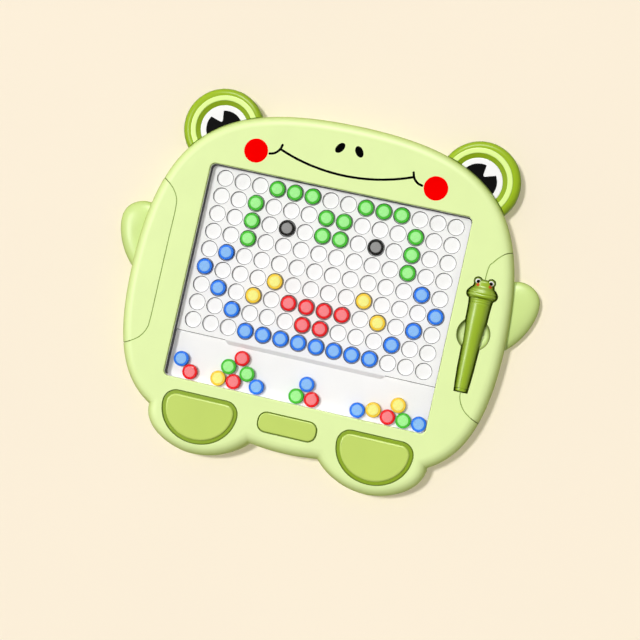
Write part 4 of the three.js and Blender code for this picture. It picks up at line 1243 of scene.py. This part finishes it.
def radius_at(rows, y):
    """The radius that rows of radius and place give at a place along the pen."""
    for low, high in zip(rows, rows[1:]):
        if y <= high.y:
            return low.lerp(high, (y - low.y) / (high.y - low.y)).x
    return rows[-1].x


def groove_depth(y, grooves, width):
    """How deep soft grooves, given as places and depths, are at a place."""
    return sum(depth * math.exp(-((y - place) / width) ** 2) for place, depth in grooves)


def grooved_barrel():
    """The barrel's rows, finely stepped, with its grooves."""
    rows = barrel_rows()
    steps = 220
    fine = []
    for step in range(steps + 1):
        y = rows[0].y + (rows[-1].y - rows[0].y) * step / steps
        fine.append((radius_at(rows, y) - groove_depth(y, BARREL_GROOVES, BARREL_GROOVE_WIDTH), y))
    return fine


def eye_lid(place):
    """An olive hood round the back of an eye, open towards the face."""
    reach = Vector((LID_OPENING, LID_OPENING, 0))
    opening = box("opening", -reach, reach + Vector((0, 0, LID_OPENING)))
    lift = Matrix.Translation(place + Vector((0, 0, LID_LIFT)))
    opening.data.transform(lift @ Matrix.Rotation(LID_LEAN, 4, "X"))
    return cut(sphere("lid", place, PEN_EYE_RADIUS), opening)


def make_pen_head():
    rings = []
    shape = head_rows()
    steps, rows = 96, 90
    start = NECK_Y + SEAT_GAP
    for row in range(rows + 1):
        y = start + (HEAD_TOP_Y - start) * row / rows
        outer = radius_at(shape, y)
        ring = []
        for step in range(steps):
            angle = TURN * step / steps
            sag = MOUTH_SAG * max(0, math.cos(angle)) ** 3
            radius = outer - groove_depth(y - FACE_Y + sag, HEAD_GROOVES, HEAD_GROOVE_WIDTH)
            across, rise = radius * math.sin(angle), HEAD_FLATNESS * radius * math.cos(angle)
            ring.append(Vector((PEN_X + across, y, PEN_Z + rise)))
        rings.append(ring)
    top = rings[-1]
    center = Vector((PEN_X, HEAD_TOP_Y, PEN_Z))
    for share, rise in CROWN:
        rings.append([center + (point - center) * share + Vector((0, rise, 0)) for point in top])
    head = tinted(skin("pen_head_look", rings), PEN)
    plug_radius = PLUG_SHARE * NECK_RADIUS - PEN_WALL - SEAT_GAP
    plug = [(plug_radius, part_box("pen_head")[0].y), (plug_radius, NECK_Y + OVERRUN)]
    join(head, pen_turned("plug", plug))
    for sign, _ in SIDES:
        place = pen_eye_place(sign)
        join(head, eye_lid(place))
        cut(head, sphere("socket", place, EYEBALL_RADIUS + SOCKET_GAP))
    dress(head, "pen_olive", "pen_head", body="pen", angle=50)


def make_pen_eye(sign, side):
    """An eye of the pen's head: a white ball with a thin round pupil on its front."""
    place = pen_eye_place(sign)
    ball = tinted(sphere(f"pen_eyeball_{side}", place, EYEBALL_RADIUS), WHITE)
    dress(ball, "eye_white", f"pen_eye_{side}", body="pen", angle=60)
    outer, inner = [], []
    for step in range(PUPIL_STEPS):
        angle = PUPIL_SPREAD * (1 - step / PUPIL_STEPS)
        for rows, radius in ((outer, EYEBALL_RADIUS + PATCH_HALF), (inner, EYEBALL_RADIUS - PATCH_HALF)):
            rows.append((radius * math.sin(angle), radius * math.cos(angle)))
    pupil = tinted(lathe(f"pen_pupil_{side}", [*reversed(inner), *outer], Vector((0, 0)), steps=40), BLACK)
    direction = Vector((sign * PUPIL_SIDE[0], *PUPIL_SIDE[1:])).normalized()
    turn = Vector((0, 0, 1)).rotation_difference(direction).to_matrix().to_4x4()
    pupil.data.transform(Matrix.Translation(place) @ turn)
    dress(pupil, "black", body="pen", angle=50)


def make_cheek_spot(sign, side):
    """A small round print that lies on the pen head's curved front."""
    shape = head_rows()
    center = Vector((PEN_X + sign * SPOT_PLACE[0], FACE_Y + SPOT_PLACE[1]))
    rings = []
    for share, rise in SPOT_ROWS:
        ring = []
        for point in circle(center, SPOT_RADIUS * share, 40):
            reach = math.sqrt(radius_at(shape, point.y) ** 2 - (point.x - PEN_X) ** 2)
            ring.append(Vector((point.x, point.y, PEN_Z + HEAD_FLATNESS * reach + rise * MM)))
        rings.append(ring)
    dress(tinted(skin(f"pen_cheek_{side}", rings), SPOT), "bead_red", body="pen", angle=60)


def make_pen():
    make_pen_head()
    magnet_low, magnet_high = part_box("pen_magnet")
    magnet_radius = magnet_high.z - PEN_Z
    bore = magnet_radius + SEAT_GAP
    outer = grooved_barrel()
    inner = [(radius - PEN_WALL, y) for radius, y in outer if y > magnet_high.y]
    barrel_profile = [(bore, BARREL_Y), *outer, *reversed(inner), (bore, magnet_high.y)]
    tip_low, tip_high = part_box("pen_tip")
    joint_y = BARREL_Y - SEAT_GAP
    tip_face, tip_neck = TIP_RADIUS * TIP_FACE_SHARE, TIP_RADIUS * TIP_NECK_SHARE
    tip_profile = filleted([
        (tip_face, tip_low.y, 0), (TIP_RADIUS, tip_low.y, TIP_EDGE), (TIP_RADIUS, joint_y, TIP_JOINT_EDGE),
        (tip_neck, joint_y, 0), (tip_neck, tip_high.y, 0),
    ])
    magnet_face = magnet_radius * MAGNET_FACE_SHARE
    magnet_profile = filleted([
        (magnet_face, magnet_low.y, 0), (magnet_radius, magnet_low.y, MAGNET_EDGE),
        (magnet_radius, magnet_high.y, MAGNET_EDGE), (magnet_face, magnet_high.y, 0),
    ])
    barrel = tinted(pen_turned("pen_barrel_look", barrel_profile, closed=True), PEN)
    dress(barrel, "pen_olive", "pen_barrel", body="pen", angle=50)
    dress(tinted(pen_turned("pen_tip_look", tip_profile), PEN), "pen_olive", "pen_tip", body="pen")
    dress(tinted(pen_turned("pen_magnet_look", magnet_profile), NICKEL), "magnet", "pen_magnet", body="pen")
    for sign, side in SIDES:
        make_pen_eye(sign, side)
        make_cheek_spot(sign, side)


# Floor, lamps, camera
FLOOR_RADIUS = 4
FLOOR_THICKNESS = 2 * MM
FLOOR_MOTTLE_SIZE = 0.4
KEY_SIDE = Vector((-0.28, 0.1, 1))
KEY_SPREAD = math.radians(8)
KEY_LEVEL = 0.54
FILL_SIDE = Vector((-0.5, 0.7, 0.6))
FILL_LEVEL = 0.35
SKY_LEVEL = 0.26
STRIP_DISTANCE = 0.9
STRIP_POWER = 200
STRIPS = (("left_strip", (-1, 0.1, 1.1), (0.5, 0.09)), ("top_strip", (-0.1, 1, 0.9), (0.5, 0.14)))


def make_floor():
    profile = [(0, REAR_Z - FLOOR_THICKNESS), (0, REAR_Z - NUDGE)]
    floor = loft("floor", circle(Vector((0, 0)), FLOOR_RADIUS, 64), profile)
    graph = Graph(bpy.data.materials.new("floor_cream"))
    cream = graph.mottled(FLOOR_MOTTLE_SIZE, srgb((255, 243, 222)), 0.985, 1)
    matt = {"Base Color": cream, "Roughness": 0.9, "Specular IOR Level": 0.1}
    graph.feed(graph.nodes["Principled BSDF"], matt)
    tinted(floor, graph.owner)


def make_sky():
    """Soft light from all round, which the camera and reflections see as a pale backdrop."""
    bpy.context.scene.world = bpy.data.worlds.new("soft_sky")
    graph = Graph(bpy.context.scene.world)
    seen = graph.node("ShaderNodeLightPath", "Is Camera Ray")
    for kind in ("Is Glossy Ray", "Is Transmission Ray"):
        either = {0: seen, 1: graph.node("ShaderNodeLightPath", kind)}
        seen = graph.node("ShaderNodeMath", "Value", either, operation="MAXIMUM")
    strength = graph.spread(seen, SKY_LEVEL, 1, 0, 1)
    graph.feed(graph.nodes["Background"], {"Color": srgb((255, 250, 242)), "Strength": strength})


def lamp(name, kind, place, energy):
    """A lamp that stands at a place and looks at the board's middle."""
    made = add(name, bpy.data.lights.new(name, kind))
    made.data.energy = energy
    made.location = place
    made.rotation_mode = "QUATERNION"
    made.rotation_quaternion = Vector(place).to_track_quat("Z", "Y")
    return made


def make_lamps():
    key = lamp("key", "SUN", KEY_SIDE, math.pi * KEY_LEVEL)
    key.data.angle = KEY_SPREAD
    key.visible_glossy = False
    fill = lamp("fill", "SUN", FILL_SIDE, math.pi * FILL_LEVEL)
    fill.data.use_shadow = False
    fill.visible_glossy = False
    for name, side, size in STRIPS:
        power = STRIP_POWER * size[0] * size[1]
        strip = lamp(name, "AREA", Vector(side).normalized() * STRIP_DISTANCE, power)
        strip.data.shape = "RECTANGLE"
        strip.data.size, strip.data.size_y = size
        strip.visible_diffuse = False


def make_camera():
    camera = add("camera", bpy.data.cameras.new("camera"))
    camera.data.lens = LENS
    camera.data.sensor_width = SENSOR
    camera.data.clip_end = CLIP_END
    back = CAMERA_SIDE.normalized()
    lean = Vector((-math.sin(CAMERA_ROLL), math.cos(CAMERA_ROLL), 0))
    right = lean.cross(back).normalized()
    turn = Matrix((right, back.cross(right), back)).transposed().to_4x4()
    camera.matrix_world = Matrix.Translation(AIM_POINT + back * CAMERA_DISTANCE) @ turn
    bpy.context.scene.camera = camera


make_camera()
make_front_shell()
make_rear_cover()
make_screws()
make_plate()
make_tray()
make_screen()
make_beads()
make_eyes()
make_hands()
make_feet()
make_belly_plate()
make_prints()
make_pen()
make_floor()
make_sky()
make_lamps()

bpy.context.scene.view_settings.view_transform = "Standard"
